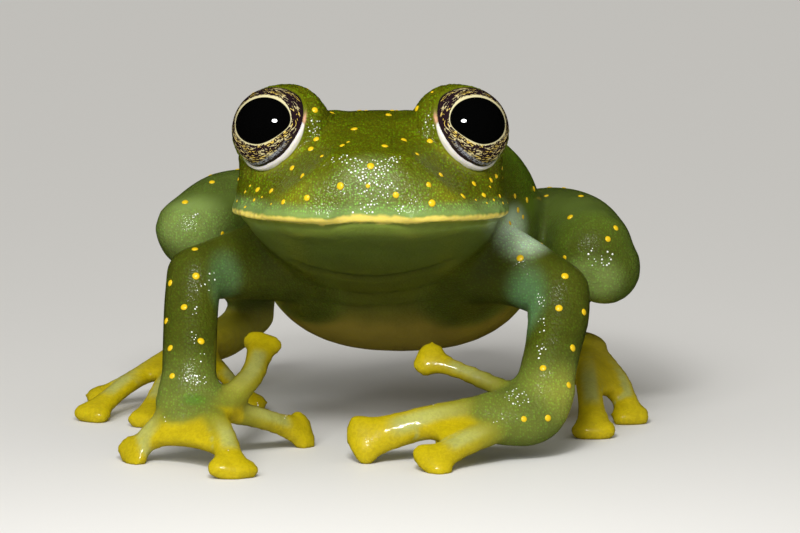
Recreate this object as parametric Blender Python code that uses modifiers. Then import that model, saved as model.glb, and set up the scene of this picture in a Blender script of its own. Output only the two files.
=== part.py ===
"""A crouching glass frog at life size: one fused body, parted into named solids by thin cuts.

All sizes are millimetres until a mesh is written in metres. X is across the frog (+X is its own
left side), the frog faces -Y, and Z is up from the floor that its fingers and toes rest on.
"""

import math

import bmesh
import bpy
import numpy as np
from mathutils import Matrix, Vector

MM = 0.001

# ---- Driving sizes, in millimetres
CUT = 0.3  # width of the gap between neighbouring solids
GRAIN = 0.24  # cell that fuses the shapes into one body
SOFTENING = 4  # rounds of smoothing over the fused body
KEPT_SHARE = 0.066  # of the fused body's triangles, after thinning them out
SIDES = 28  # points round each section
STEPS = 5  # sections between two given ones
CAP_ANGLES = (25, 50, 70, 84)  # degrees, the sections of a limb's rounded end
BALL_SIDES = 24
BALL_RINGS = 16
SHARP_DEGREES = 40
CRUMB = 0.05  # cubic millimetres: a smaller loose piece is waste from a cut

EYE_ACROSS = 3.6
EYE_BACK = 4.6
EYE_HEIGHT = 12.45
EYE_RADIUS = 1.6
EYE_OUTWARD = 24  # degrees that each eye looks away from straight ahead
EYE_UPWARD = 17
EYE_SEAT = 0.3  # from the ball's centre to the flat that the eye stands on
SOCKET_RADIUS = 1.8
BROW_RADIUS = 1.83
BROW_SETBACK = 0.3
BROW_INWARD = 0.2

EAR = (3.3, 6.2, 11.2)
EAR_RADII = (1.7, 2.2, 1.7)
CROWN = (1.4, 6.4, 12.38)  # beside the middle of the crown, where it runs up into the brow
CROWN_RADII = (0.95, 2.2, 0.58)
NOSTRIL = (1.38, 1.15, 11.72)
NOSTRIL_RADII = (0.5, 0.55, 0.42)

LIP_HEIGHT = 9.75  # at the tip of the snout
LIP_SLOPE = -0.08  # rise for each millimetre further back
LIP_RADIUS = 0.26
LIP_TUCK = 0.985  # how far out on the skull's half width the lip sits
LIP_LENGTH = 8  # of the skull's sections, from the snout

FLOOR_DEPTH = 3.0
FLOOR_SIZE = 60.0

# Sections of the head, jaw and trunk stand square to Y, each as
# (back, across, half width, height of the widest line, top, bottom, power of its curve).
SKULL = (
    (0.05, 0.00, 1.50, 10.20, 10.95, 9.60, 2.20),
    (0.25, 0.00, 2.30, 10.00, 11.45, 9.40, 2.15),
    (0.70, 0.00, 3.05, 9.85, 11.85, 9.25, 2.05),
    (1.50, 0.00, 3.80, 9.75, 12.15, 9.10, 1.70),
    (2.60, 0.00, 4.42, 9.65, 12.42, 9.00, 1.58),
    (3.80, 0.00, 4.85, 9.60, 12.66, 8.90, 1.58),
    (5.20, 0.00, 5.08, 9.50, 12.85, 8.80, 1.80),
    (6.60, 0.00, 5.12, 9.40, 12.92, 8.60, 2.15),
    (8.20, 0.25, 4.90, 9.10, 12.80, 7.50, 2.40),
    (9.80, 0.60, 4.70, 8.60, 12.60, 6.50, 2.40),
    (11.60, 0.90, 4.20, 8.00, 12.20, 6.20, 2.40),
)
JAW = (
    (0.45, 0.00, 1.30, 9.50, 9.75, 9.10, 2.20),
    (0.80, 0.00, 2.30, 9.40, 9.80, 8.85, 2.20),
    (1.60, 0.00, 3.30, 9.35, 9.80, 8.55, 2.20),
    (2.80, 0.00, 4.10, 9.30, 9.80, 8.15, 1.85),
    (4.20, 0.00, 4.60, 9.20, 9.80, 7.55, 1.75),
    (5.60, 0.00, 4.80, 9.10, 9.80, 6.90, 1.75),
    (7.00, 0.10, 4.75, 8.90, 9.80, 6.10, 1.75),
    (8.80, 0.40, 4.50, 8.60, 9.80, 5.10, 1.90),
    (10.40, 0.60, 4.10, 8.20, 9.80, 4.60, 2.10),
)
TRUNK = (
    (7.20, 0.20, 4.20, 9.20, 12.45, 6.40, 2.40),
    (8.60, 0.40, 4.70, 8.60, 12.55, 5.00, 2.40),
    (10.20, 0.65, 5.15, 8.10, 12.45, 3.80, 2.40),
    (12.20, 1.00, 5.50, 7.60, 12.20, 2.90, 2.45),
    (14.40, 1.35, 5.40, 7.20, 11.75, 2.55, 2.40),
    (17.00, 1.75, 4.70, 6.70, 11.00, 2.50, 2.35),
    (19.60, 2.10, 3.85, 6.10, 9.90, 2.60, 2.30),
    (22.20, 2.45, 3.00, 5.50, 8.50, 2.80, 2.20),
    (24.40, 2.70, 2.25, 5.00, 7.10, 3.10, 2.10),
    (25.80, 2.85, 1.60, 4.80, 6.05, 3.50, 2.05),
    (26.50, 2.90, 0.80, 4.75, 5.40, 4.10, 2.00),
)

# Limb segments run through (across, back, up, half width, half thickness), root to tip.
LIMBS = {
    "upper_arm_right": (
        (-3.0, 9.8, 7.0, 1.9, 1.9),
        (-4.7, 8.9, 6.8, 1.4, 1.45),
        (-6.1, 8.0, 6.65, 1.15, 1.15),
        (-6.75, 7.4, 6.55, 1.1, 1.1),
    ),
    "forearm_right": (
        (-6.75, 7.35, 6.55, 1.08, 1.06),
        (-6.85, 6.7, 5.4, 1.06, 1.02),
        (-6.87, 5.6, 4.1, 1.05, 0.98),
        (-6.87, 4.7, 3.1, 1.05, 0.9),
    ),
    "hand_right": (
        (-6.87, 4.7, 3.0, 1.08, 0.85),
        (-6.85, 4.0, 2.35, 1.28, 0.62),
        (-6.75, 3.45, 1.85, 1.32, 0.48),
    ),
    "upper_arm_left": (
        (4.0, 9.8, 6.9, 1.9, 1.9),
        (5.5, 8.9, 6.55, 1.45, 1.45),
        (6.65, 8.1, 6.1, 1.25, 1.25),
        (7.2, 7.6, 5.85, 1.2, 1.2),
    ),
    "forearm_left": (
        (7.22, 7.5, 5.85, 1.2, 1.15),
        (7.15, 6.9, 4.9, 1.18, 1.1),
        (6.9, 6.0, 3.8, 1.08, 1.05),
        (6.6, 5.1, 2.6, 1.12, 1.05),
    ),
    "hand_left": (
        (6.6, 5.0, 2.5, 1.2, 1.0),
        (6.1, 4.4, 1.7, 1.25, 1.0),
        (5.2, 3.9, 1.6, 1.2, 0.85),
        (4.5, 3.7, 1.65, 1.1, 0.7),
    ),
    "thigh_right": (
        (0.6, 21.8, 5.8, 1.6, 1.7),
        (-2.9, 18.0, 7.0, 1.9, 2.0),
        (-5.5, 14.7, 8.0, 1.65, 1.7),
        (-7.2, 12.8, 7.6, 1.3, 1.3),
    ),
    "shank_right": (
        (-7.2, 12.9, 7.25, 1.18, 1.12),
        (-6.5, 15.9, 6.4, 1.3, 1.3),
        (-5.6, 20.0, 4.9, 1.1, 1.1),
        (-4.9, 23.4, 3.2, 0.9, 0.9),
    ),
    "foot_right": (
        (-4.9, 23.6, 2.6, 0.85, 0.85),
        (-6.1, 20.4, 2.1, 0.9, 0.8),
        (-7.3, 17.8, 2.1, 1.1, 0.72),
    ),
    "thigh_left": (
        (4.2, 21.8, 5.7, 1.6, 1.7),
        (6.8, 18.0, 6.6, 1.9, 1.95),
        (8.0, 14.2, 7.1, 1.75, 1.8),
        (8.6, 11.9, 6.9, 1.65, 1.65),
    ),
    "shank_left": (
        (9.1, 11.8, 6.2, 1.42, 1.45),
        (9.1, 15.2, 5.9, 1.3, 1.25),
        (8.2, 19.6, 4.6, 1.1, 1.1),
        (7.2, 23.0, 2.7, 0.9, 0.9),
    ),
    "foot_left": (
        (7.2, 23.2, 2.2, 0.85, 0.85),
        (7.8, 19.4, 2.0, 0.9, 0.75),
        (8.3, 16.2, 2.3, 1.15, 0.7),
    ),
}

# Which way the back of a hand, finger or toe faces; other limbs take straight up.
BACKS = {
    "hand_right": (0, -0.5, 0.85),
    "hand_left": (0.1, -0.7, 0.7),
    "finger_right_1": (0.2, -0.45, 0.9),
    "finger_right_2": (0.15, -0.75, 0.62),
    "finger_right_3": (0, 0.35, 0.93),
    "finger_right_4": (-0.1, -0.45, 0.9),
    "finger_left_1": (0, -0.75, 0.6),
    "finger_left_2": (0, -0.2, 1),
    "finger_left_3": (-0.1, -0.85, 0.5),
    "finger_left_4": (0.15, -0.5, 0.85),
}
TOE_BACK = (0, -0.2, 1)
UP = (0, 0, 1)

# Digits run knuckle, mid joint, disc. Each has a half width, its disc's half width, and the share
# of its length where its own solid starts.
DIGITS = {
    "finger_right_1": (((-5.8, 3.5, 1.9), (-4.6, 5.1, 2.9), (-4.15, 7.3, 3.9)), 0.52, 0.78, 0.42),
    "finger_right_2": (((-5.9, 3.7, 2.0), (-4.3, 5.2, 1.4), (-2.65, 7.0, 0.52)), 0.50, 0.92, 0.44),
    "finger_right_3": (((-5.9, 3.0, 1.7), (-5.45, 1.7, 1.15), (-5.1, 0.1, 0.32)), 0.56, 1.02, 0.80),
    "finger_right_4": (((-7.3, 3.7, 1.9), (-8.1, 3.5, 1.2), (-8.95, 3.5, 0.32)), 0.52, 0.90, 0.80),
    "finger_left_1": (((5.5, 4.9, 2.3), (4.0, 5.5, 2.9), (2.2, 6.1, 3.5)), 0.40, 0.74, 0.30),
    "finger_left_2": (((5.0, 4.3, 1.6), (4.1, 5.6, 0.9), (3.1, 6.9, 0.32)), 0.46, 0.80, 0.42),
    "finger_left_3": (((4.9, 3.9, 1.85), (2.4, 3.7, 1.5), (-0.3, 3.4, 0.86)), 0.70, 1.06, 0.70),
    "finger_left_4": (((4.9, 3.3, 1.35), (3.7, 2.4, 0.95), (2.3, 1.4, 0.38)), 0.56, 0.96, 0.82),
    "toe_right_1": (((-6.7, 17.9, 1.8), (-5.8, 16.4, 1.1), (-4.8, 14.9, 0.3)), 0.40, 0.66, 0.64),
    "toe_right_2": (((-7.0, 17.5, 1.9), (-6.7, 15.0, 1.2), (-6.3, 12.8, 0.3)), 0.42, 0.70, 0.66),
    "toe_right_3": (((-7.4, 17.2, 1.95), (-8.2, 14.1, 1.25), (-8.8, 11.3, 0.3)), 0.46, 0.76, 0.68),
    "toe_right_4": (((-7.8, 17.3, 1.95), (-9.6, 14.7, 1.2), (-11.0, 12.6, 0.3)), 0.50, 0.80, 0.68),
    "toe_right_5": (((-7.8, 17.7, 1.9), (-9.4, 17.0, 1.1), (-10.9, 16.4, 0.3)), 0.46, 0.76, 0.68),
    "toe_left_1": (((7.9, 16.4, 2.0), (6.4, 15.8, 1.2), (4.9, 15.2, 0.3)), 0.40, 0.66, 0.62),
    "toe_left_2": (((8.1, 16.0, 2.1), (6.7, 14.3, 1.2), (5.2, 12.8, 0.3)), 0.42, 0.70, 0.66),
    "toe_left_3": (((8.3, 15.8, 2.2), (7.2, 12.7, 1.35), (6.2, 9.8, 0.3)), 0.46, 0.76, 0.68),
    "toe_left_4": (((8.5, 15.8, 2.25), (8.5, 12.0, 1.6), (8.6, 8.7, 0.3)), 0.56, 0.92, 0.80),
    "toe_left_5": (((8.8, 16.1, 2.2), (9.7, 14.0, 1.4), (10.15, 12.0, 0.3)), 0.52, 0.80, 0.82),
}
DISC_HALF_LENGTH = 0.52
DISC_HALF_THICKNESS = 0.36
DISC_POWER = 2.8
DIGIT_FLATNESS = 0.75
KNUCKLE_SWELL = 1.12
FLARE_START = 0.76  # of the digit's length, where it starts to widen into its disc
FLARE_WIDTH = 0.86  # of the disc's half width, under the disc
DIGIT_CUT_WIDTH = 1.6  # half width of the cut, for each millimetre of the digit's
DIGIT_CUT_HEIGHT = 1.5

# Webs span two digits, out to a share of each one's length, with the free edge drawn in by a share.
WEBS = (
    ("finger_right_3", "finger_right_4", 0.90, 0.92, 0.22),
    ("finger_right_2", "finger_right_3", 0.36, 0.50, 0.35),
    ("finger_left_3", "finger_left_4", 0.72, 0.80, 0.12),
    ("toe_right_1", "toe_right_2", 0.45, 0.40, 0.30),
    ("toe_right_2", "toe_right_3", 0.50, 0.45, 0.30),
    ("toe_right_3", "toe_right_4", 0.55, 0.55, 0.30),
    ("toe_right_4", "toe_right_5", 0.50, 0.55, 0.30),
    ("toe_left_1", "toe_left_2", 0.45, 0.40, 0.30),
    ("toe_left_2", "toe_left_3", 0.50, 0.40, 0.30),
    ("toe_left_3", "toe_left_4", 0.60, 0.60, 0.30),
    ("toe_left_4", "toe_left_5", 0.84, 0.86, 0.24),
)
WEB_HALF_THICKNESS = 0.32
WEB_ROWS = 6
WEB_COLUMNS = 8

# Cuts across joints and creases: (middle, way it faces, half width, half height).
CUTS = {
    "neck": ((0.2, 7.9, 9.3), (0, 0.939, -0.343), 5.3, 3.95),
    "mouth": ((0.0, 3.3, 9.2), (0, 0.08, 0.997), 5.8, 4.4),
    "shoulder_right": ((-5.0, 8.7, 6.78), (-0.87, -0.46, -0.1), 1.6, 1.55),
    "shoulder_left": ((5.85, 8.7, 6.45), (0.83, -0.5, -0.2), 1.85, 1.85),
    "elbow_right": ((-6.75, 7.35, 6.5), (-0.39, -0.64, -0.57), 1.7, 1.9),
    "elbow_left": ((7.2, 7.55, 5.85), (0.3, -0.62, -0.68), 1.8, 2.0),
    "wrist_right": ((-6.87, 4.75, 3.1), (0, -0.7, -0.7), 1.45, 1.5),
    "wrist_left": ((6.6, 5.0, 2.5), (-0.4, -0.6, -0.7), 1.7, 1.7),
    "hip_right": ((-2.0, 18.7, 6.3), (0.917, -0.4, 0), 7.0, 4.6),
    "hip_left": ((5.67, 18.6, 6.3), (0.988, 0.157, 0), 7.4, 4.6),
    "knee_right": ((-6.1, 15.0, 7.03), (0.848, -0.304, 0.436), 4.6, 3.0),
    "knee_left": ((8.34, 15.6, 6.21), (-0.78, -0.052, 0.62), 5.7, 2.7),
    "ankle_right": ((-5.2, 22.3, 3.06), (0.242, 0.067, 0.968), 1.9, 2.6),
    "ankle_left": ((7.4, 22.0, 2.7), (0.118, 0.237, 0.964), 1.9, 2.8),
}

# A point in the middle of each solid that isn't a limb segment or a digit
MIDDLES = {"head": (0, 5, 11.2), "lower_jaw": (0, 4.2, 8.4), "trunk": (1.5, 15.5, 7.0)}

SKIN_GREEN = (0.20, 0.33, 0.05)
THROAT_GREEN = (0.10, 0.24, 0.11)
HAND_YELLOW = (0.55, 0.47, 0.05)
EYE_BLACK = (0.01, 0.01, 0.01)
SKIN_ROUGHNESS = 0.35
EYE_ROUGHNESS = 0.08


# ---- Shapes


def smooth(stations):
    """Rows between the given ones, on a Catmull-Rom curve through them all."""
    rows = np.array(stations, float)
    rows = np.vstack([2 * rows[0] - rows[1], rows, 2 * rows[-1] - rows[-2]])
    found = []
    for before, here, there, after in zip(rows, rows[1:], rows[2:], rows[3:]):
        for t in np.arange(STEPS) / STEPS:
            slope = (there - before) * t
            bend = (2 * before - 5 * here + 4 * there - after) * t**2
            twist = (3 * here - before - 3 * there + after) * t**3
            found.append((2 * here + slope + bend + twist) / 2)
    return [*found, rows[-2]]


def rounded(value, power):
    """A sine or cosine, bent so that a circle becomes a superellipse."""
    return math.copysign(abs(value) ** (2 / power), value)


def section(bm, middle, across, upward, half_width, rise, fall, power=2.0):
    """One closed outline, rise above its middle and fall below it."""
    points = bmesh.ops.create_circle(bm, segments=SIDES, radius=1)["verts"]
    for point in points:
        out = rounded(point.co.x, power) * half_width
        height = rounded(point.co.y, power) * (rise if point.co.y > 0 else fall)
        point.co = (middle + across * out + upward * height) * MM
    return points


def outline_edges(points):
    """The edges of one section."""
    own = set(points)
    return [e for p in points for e in p.link_edges if e.other_vert(p) in own]


def lofted(bm, sections):
    """Closes a row of sections into one skin with an end face on each end."""
    for near, far in zip(sections, sections[1:]):
        edges = set(outline_edges(near)) | set(outline_edges(far))
        bmesh.ops.bridge_loops(bm, edges=list(edges))
    bm.faces.new(sections[0])
    bm.faces.new(sections[-1])
    bmesh.ops.recalc_face_normals(bm, faces=bm.faces)


def made(bm, name):
    """A mesh object from bm, in the working collection."""
    mesh = bpy.data.meshes.new(name)
    bm.to_mesh(mesh)
    bm.free()
    found = bpy.data.objects.new(name, mesh)
    bpy.context.scene.collection.objects.link(found)
    return found


def barrel(name, stations):
    """A head, jaw or trunk, through upright sections."""
    bm = bmesh.new()
    sections = []
    for back, across, half_width, middle, top, bottom, power in smooth(stations):
        place = Vector((across, back, middle))
        rise, fall = top - middle, middle - bottom
        sections.append(section(bm, place, Vector((1, 0, 0)), Vector(UP), half_width, rise, fall, power))
    lofted(bm, sections)
    return made(bm, name)


def axes(ahead, back):
    """Unit vectors across, along and out of the back of a limb that points ahead."""
    ahead = Vector(ahead).normalized()
    across = ahead.cross(Vector(back)).normalized()
    return across, ahead, across.cross(ahead)


def back_of(name):
    """The way that the back of a limb segment or digit faces."""
    return BACKS.get(name, TOE_BACK if name.startswith("toe") else UP)


def limb(name, stations):
    """A round or flattened tube through its stations, with a rounded cap on each end."""
    rows = smooth(stations)
    places = [Vector(row[:3]) for row in rows]
    rings = []
    for i, row in enumerate(rows):
        ahead = places[min(i + 1, len(rows) - 1)] - places[max(i - 1, 0)]
        rings.append((places[i], axes(ahead, back_of(name)), row[3], row[4]))
    caps = [[], []]
    for cap, (place, turn, width, height), way in zip(caps, (rings[0], rings[-1]), (-1, 1)):
        for angle in CAP_ANGLES:
            reach = way * (width + height) / 2 * math.sin(math.radians(angle))
            left = math.cos(math.radians(angle))
            cap.append((place + turn[1] * reach, turn, width * left, height * left))
    bm = bmesh.new()
    sections = []
    for place, (across, _, upward), width, height in [*reversed(caps[0]), *rings, *caps[1]]:
        sections.append(section(bm, place, across, upward, width, height, height))
    lofted(bm, sections)
    return made(bm, name)


def pebble(name, middle, radii, turn=None, power=2.0):
    """An ellipsoid, or with a higher power a squarer one, turned onto the given axes."""
    bm = bmesh.new()
    points = bmesh.ops.create_uvsphere(bm, u_segments=BALL_SIDES, v_segments=BALL_RINGS, radius=1)["verts"]
    turn = turn or Matrix.Identity(3)
    for point in points:
        shape = Vector([rounded(value, power) * radius for value, radius in zip(point.co, radii)])
        point.co = (turn @ shape + Vector(middle)) * MM
    return made(bm, name)


def along(path, share):
    """The point at a share of a digit's path."""
    spots = [Vector(row) for row in smooth(path)]
    spot = share * (len(spots) - 1)
    before = min(int(spot), len(spots) - 2)
    return spots[before].lerp(spots[before + 1], spot - before)


def digit(name, path, half_width, disc_half_width):
    """A finger or toe that flares into the wide disc on its tip."""
    knuckle, middle, tip = path
    narrow = half_width * DIGIT_FLATNESS
    stations = [
        (*knuckle, half_width * KNUCKLE_SWELL, narrow * KNUCKLE_SWELL),
        (*middle, half_width, narrow),
        (*along(path, FLARE_START), half_width, narrow),
        (*tip, disc_half_width * FLARE_WIDTH, DISC_HALF_THICKNESS),
    ]
    turn = Matrix(axes(Vector(tip) - Vector(middle), back_of(name))).transposed()
    radii = (disc_half_width, DISC_HALF_LENGTH, DISC_HALF_THICKNESS)
    return [limb(name, stations), pebble(name, tip, radii, turn, DISC_POWER)]


def web(one, two, reach_one, reach_two, drawn_in):
    """A membrane between two digits: a grid between their paths, given its thickness by Solidify."""
    bm = bmesh.new()
    bmesh.ops.create_grid(bm, x_segments=WEB_COLUMNS, y_segments=WEB_ROWS, size=0.5)
    for point in bm.verts:
        side, out = point.co.x + 0.5, point.co.y + 0.5
        out *= 1 - drawn_in * 4 * side * (1 - side)
        here = along(DIGITS[one][0], out * reach_one)
        there = along(DIGITS[two][0], out * reach_two)
        point.co = here.lerp(there, side) * MM
    sheet = made(bm, "web")
    thickness = sheet.modifiers.new("thickness", "SOLIDIFY")
    thickness.thickness = 2 * WEB_HALF_THICKNESS * MM
    thickness.offset = 0
    return sheet


def gaze(side):
    """Where the eye on this side looks: -1 is the frog's right, 1 its left."""
    outward, upward = math.radians(EYE_OUTWARD), math.radians(EYE_UPWARD)
    level = math.cos(upward)
    return Vector((side * math.sin(outward) * level, -math.cos(outward) * level, math.sin(upward)))


def eye_centre(side):
    return Vector((side * EYE_ACROSS, EYE_BACK, EYE_HEIGHT))


def face(side):
    """One side of the face: the brow round the eye, the ear region, crown, nostril and upper lip."""
    brow = eye_centre(side) - gaze(side) * BROW_SETBACK - Vector((side * BROW_INWARD, 0, 0))
    lip = []
    for back, _, half_width, *_ in SKULL[:LIP_LENGTH]:
        height = LIP_HEIGHT + LIP_SLOPE * back
        lip.append((side * half_width * LIP_TUCK, back, height, LIP_RADIUS, LIP_RADIUS))
    return [
        pebble("brow", brow, (BROW_RADIUS,) * 3),
        pebble("ear", (side * EAR[0], *EAR[1:]), EAR_RADII),
        pebble("crown", (side * CROWN[0], *CROWN[1:]), CROWN_RADII),
        pebble("nostril", (side * NOSTRIL[0], *NOSTRIL[1:]), NOSTRIL_RADII),
        limb("lip", lip),
    ]


# ---- The body, whole


def evaluated(obj):
    """The object's mesh with its modifiers applied."""
    graph = bpy.context.evaluated_depsgraph_get()
    return bpy.data.meshes.new_from_object(obj.evaluated_get(graph), depsgraph=graph)


def whole_body():
    """Every shape of flesh, fused, softened and thinned out."""
    shapes = [barrel("skull", SKULL), barrel("jaw", JAW), barrel("trunk", TRUNK), *face(-1), *face(1)]
    for name, stations in LIMBS.items():
        shapes.append(limb(name, stations))
    for name, (path, half_width, disc_half_width, _) in DIGITS.items():
        shapes += digit(name, path, half_width, disc_half_width)
    for span in WEBS:
        shapes.append(web(*span))
    bm = bmesh.new()
    for shape in shapes:
        bm.from_mesh(evaluated(shape))
        bpy.data.objects.remove(shape)
    body = made(bm, "body")
    fuse = body.modifiers.new("fuse", "REMESH")
    fuse.mode = "VOXEL"
    fuse.voxel_size = GRAIN * MM
    soften = body.modifiers.new("soften", "SMOOTH")
    soften.iterations = SOFTENING
    thin = body.modifiers.new("thin", "DECIMATE")
    thin.ratio = KEPT_SHARE
    return body


# ---- The cuts


def slab(name, middle, facing, half_width, half_height, thickness=CUT, back=UP):
    """A thin box square to the way that it faces."""
    facing = Vector(facing).normalized()
    if abs(facing.dot(Vector(back))) > 0.9:
        back = (0, 1, 0)
    across, ahead, upward = axes(facing, back)
    bm = bmesh.new()
    for point in bmesh.ops.create_cube(bm, size=1)["verts"]:
        x, y, z = point.co
        out = across * x * 2 * half_width + ahead * y * thickness + upward * z * 2 * half_height
        point.co = (Vector(middle) + out) * MM
    return made(bm, name)


def cutters():
    """The slabs between neighbours, the floor, and the seats of the eyes."""
    found = []
    for name, (middle, facing, half_width, half_height) in CUTS.items():
        found.append(slab(name + "_cut", middle, facing, half_width, half_height))
    for name, (path, half_width, _, share) in DIGITS.items():
        here = along(path, share)
        ahead = along(path, 1) - here
        width, height = half_width * DIGIT_CUT_WIDTH, half_width * DIGIT_CUT_HEIGHT
        found.append(slab(name + "_cut", here, ahead, width, height, back=back_of(name)))
    floor = (0, FLOOR_SIZE / 4, -FLOOR_DEPTH / 2)
    found.append(slab("floor", floor, UP, FLOOR_SIZE / 2, FLOOR_SIZE / 2, FLOOR_DEPTH))
    for side in (-1, 1):
        depth = 2 * EYE_RADIUS
        middle = eye_centre(side) + gaze(side) * (EYE_SEAT - CUT / 2 + depth / 2)
        bm = bmesh.new()
        bmesh.ops.create_cone(
            bm, segments=SIDES, radius1=SOCKET_RADIUS, radius2=SOCKET_RADIUS, depth=depth, cap_ends=True
        )
        turn = gaze(side).to_track_quat("Z", "Y").to_matrix()
        for point in bm.verts:
            point.co = (turn @ point.co + middle) * MM
        found.append(made(bm, "seat"))
    return found


def islands(mesh):
    """The loose pieces of a mesh, each as its own bmesh."""
    bm = bmesh.new()
    bm.from_mesh(mesh)
    bm.verts.ensure_lookup_table()
    unseen = set(bm.verts)
    groups = []
    while unseen:
        start = min(unseen, key=lambda vert: vert.index)
        group, front = {start}, [start]
        while front:
            for edge in front.pop().link_edges:
                for vert in edge.verts:
                    if vert not in group:
                        group.add(vert)
                        front.append(vert)
        unseen -= group
        groups.append({vert.index for vert in group})
    bm.free()
    for group in groups:
        piece = bmesh.new()
        piece.from_mesh(mesh)
        piece.verts.ensure_lookup_table()
        bmesh.ops.delete(piece, geom=[v for v in piece.verts if v.index not in group], context="VERTS")
        yield piece


def labels():
    """{name: the point in the middle of that solid}, in metres."""
    spots = {name: Vector(middle) for name, middle in MIDDLES.items()}
    for name, stations in LIMBS.items():
        spots[name] = sum((Vector(row[:3]) for row in stations), Vector()) / len(stations)
    for name, (path, _, _, share) in DIGITS.items():
        spots[name] = along(path, (1 + share) / 2)
    return {name: spot * MM for name, spot in spots.items()}


def distance(bm, spot):
    """How far the middle of a piece's box is from a spot."""
    points = np.array([vert.co for vert in bm.verts])
    middle = (points.min(0) + points.max(0)) / 2
    return (Vector(middle) - spot).length


def colour_of(name):
    if name.startswith(("finger", "toe", "hand", "foot")):
        return HAND_YELLOW
    return THROAT_GREEN if name == "lower_jaw" else SKIN_GREEN


def material(name, colour, roughness):
    found = bpy.data.materials.new(name)
    found.use_nodes = True
    shader = found.node_tree.nodes["Principled BSDF"]
    shader.inputs["Base Color"].default_value = (*colour, 1)
    shader.inputs["Roughness"].default_value = roughness
    shader.inputs["Metallic"].default_value = 0
    return found


def eye(side):
    """The part of the eyeball that stands out of the head, on a flat seat."""
    bm = bmesh.new()
    bmesh.ops.create_uvsphere(bm, u_segments=BALL_SIDES, v_segments=BALL_RINGS, radius=EYE_RADIUS)
    everything = bm.verts[:] + bm.edges[:] + bm.faces[:]
    seat = (0, 0, EYE_SEAT)
    cut = bmesh.ops.bisect_plane(bm, geom=everything, plane_co=seat, plane_no=UP, clear_inner=True)
    rim = [piece for piece in cut["geom_cut"] if isinstance(piece, bmesh.types.BMEdge)]
    bmesh.ops.contextual_create(bm, geom=rim)
    turn = gaze(side).to_track_quat("Z", "Y").to_matrix()
    for point in bm.verts:
        point.co = (turn @ point.co + eye_centre(side)) * MM
    bmesh.ops.recalc_face_normals(bm, faces=bm.faces)
    return made(bm, "eye_left" if side > 0 else "eye_right")


def place_in(collection, obj):
    bpy.context.scene.collection.objects.unlink(obj)
    collection.objects.link(obj)


def main():
    for old in list(bpy.data.objects):
        bpy.data.objects.remove(old)
    frog = bpy.data.collections.new("glass_frog")
    tools = bpy.data.collections.new("cutters")
    bpy.context.scene.collection.children.link(frog)
    bpy.context.scene.collection.children.link(tools)

    body = whole_body()
    for cutter in cutters():
        cutter.hide_render = True
        cutter.display_type = "WIRE"
        place_in(tools, cutter)
    part = body.modifiers.new("part", "BOOLEAN")
    part.operand_type = "COLLECTION"
    part.collection = tools
    part.operation = "DIFFERENCE"
    cut_body = evaluated(body)
    bpy.data.objects.remove(body)

    spots = labels()
    solids = [eye(-1), eye(1)]
    for piece in islands(cut_body):
        if abs(piece.calc_volume()) < CRUMB * MM**3:
            piece.free()
            continue
        name = min(spots, key=lambda label: distance(piece, spots[label]))
        del spots[name]
        solids.append(made(piece, name))

    # The origin goes to the floor under the middle of the frog.
    corners = np.array([vert.co for solid in solids for vert in solid.data.vertices])
    middle = (corners.min(0) + corners.max(0)) / 2
    shift = Matrix.Translation((-middle[0], -middle[1], 0))
    for solid in solids:
        solid.data.transform(shift)
        place_in(frog, solid)
        colour = EYE_BLACK if solid.name.startswith("eye") else colour_of(solid.name)
        roughness = EYE_ROUGHNESS if solid.name.startswith("eye") else SKIN_ROUGHNESS
        solid.data.materials.append(material(solid.name, colour, roughness))
        solid.data.shade_smooth()
        solid.data.set_sharp_from_angle(angle=math.radians(SHARP_DEGREES))


main()
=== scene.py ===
"""Glass frog, still and life-size: one moist skin, two eyes, raised flecks and wet granules, their glints
painted as pale beads.

Sizes are millimetres until a mesh is written in metres. X is across the frog (+X is its own left
side), it faces -Y, and Z is up from the floor. Shapes are laid out from a mark on the floor under
the tip of the snout, and every finished mesh is then carried from that mark to the frame's origin.
"""

import math
import random

import bmesh
import bpy
import numpy as np
from mathutils import Matrix, Vector, noise
from mathutils.bvhtree import BVHTree


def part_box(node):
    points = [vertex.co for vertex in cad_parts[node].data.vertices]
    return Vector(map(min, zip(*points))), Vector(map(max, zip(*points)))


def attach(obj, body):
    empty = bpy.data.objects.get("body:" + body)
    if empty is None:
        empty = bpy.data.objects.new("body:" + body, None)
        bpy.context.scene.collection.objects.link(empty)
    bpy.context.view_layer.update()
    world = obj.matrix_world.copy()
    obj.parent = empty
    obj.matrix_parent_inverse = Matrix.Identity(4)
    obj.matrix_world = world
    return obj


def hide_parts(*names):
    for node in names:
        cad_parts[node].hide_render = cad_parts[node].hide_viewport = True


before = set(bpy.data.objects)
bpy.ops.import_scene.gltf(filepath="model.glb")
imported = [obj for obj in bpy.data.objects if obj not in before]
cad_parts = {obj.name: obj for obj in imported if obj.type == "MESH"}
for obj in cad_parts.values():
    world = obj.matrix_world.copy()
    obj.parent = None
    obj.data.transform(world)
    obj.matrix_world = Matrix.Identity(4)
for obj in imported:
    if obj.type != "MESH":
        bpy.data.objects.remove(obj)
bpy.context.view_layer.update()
MM = 0.001

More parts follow.
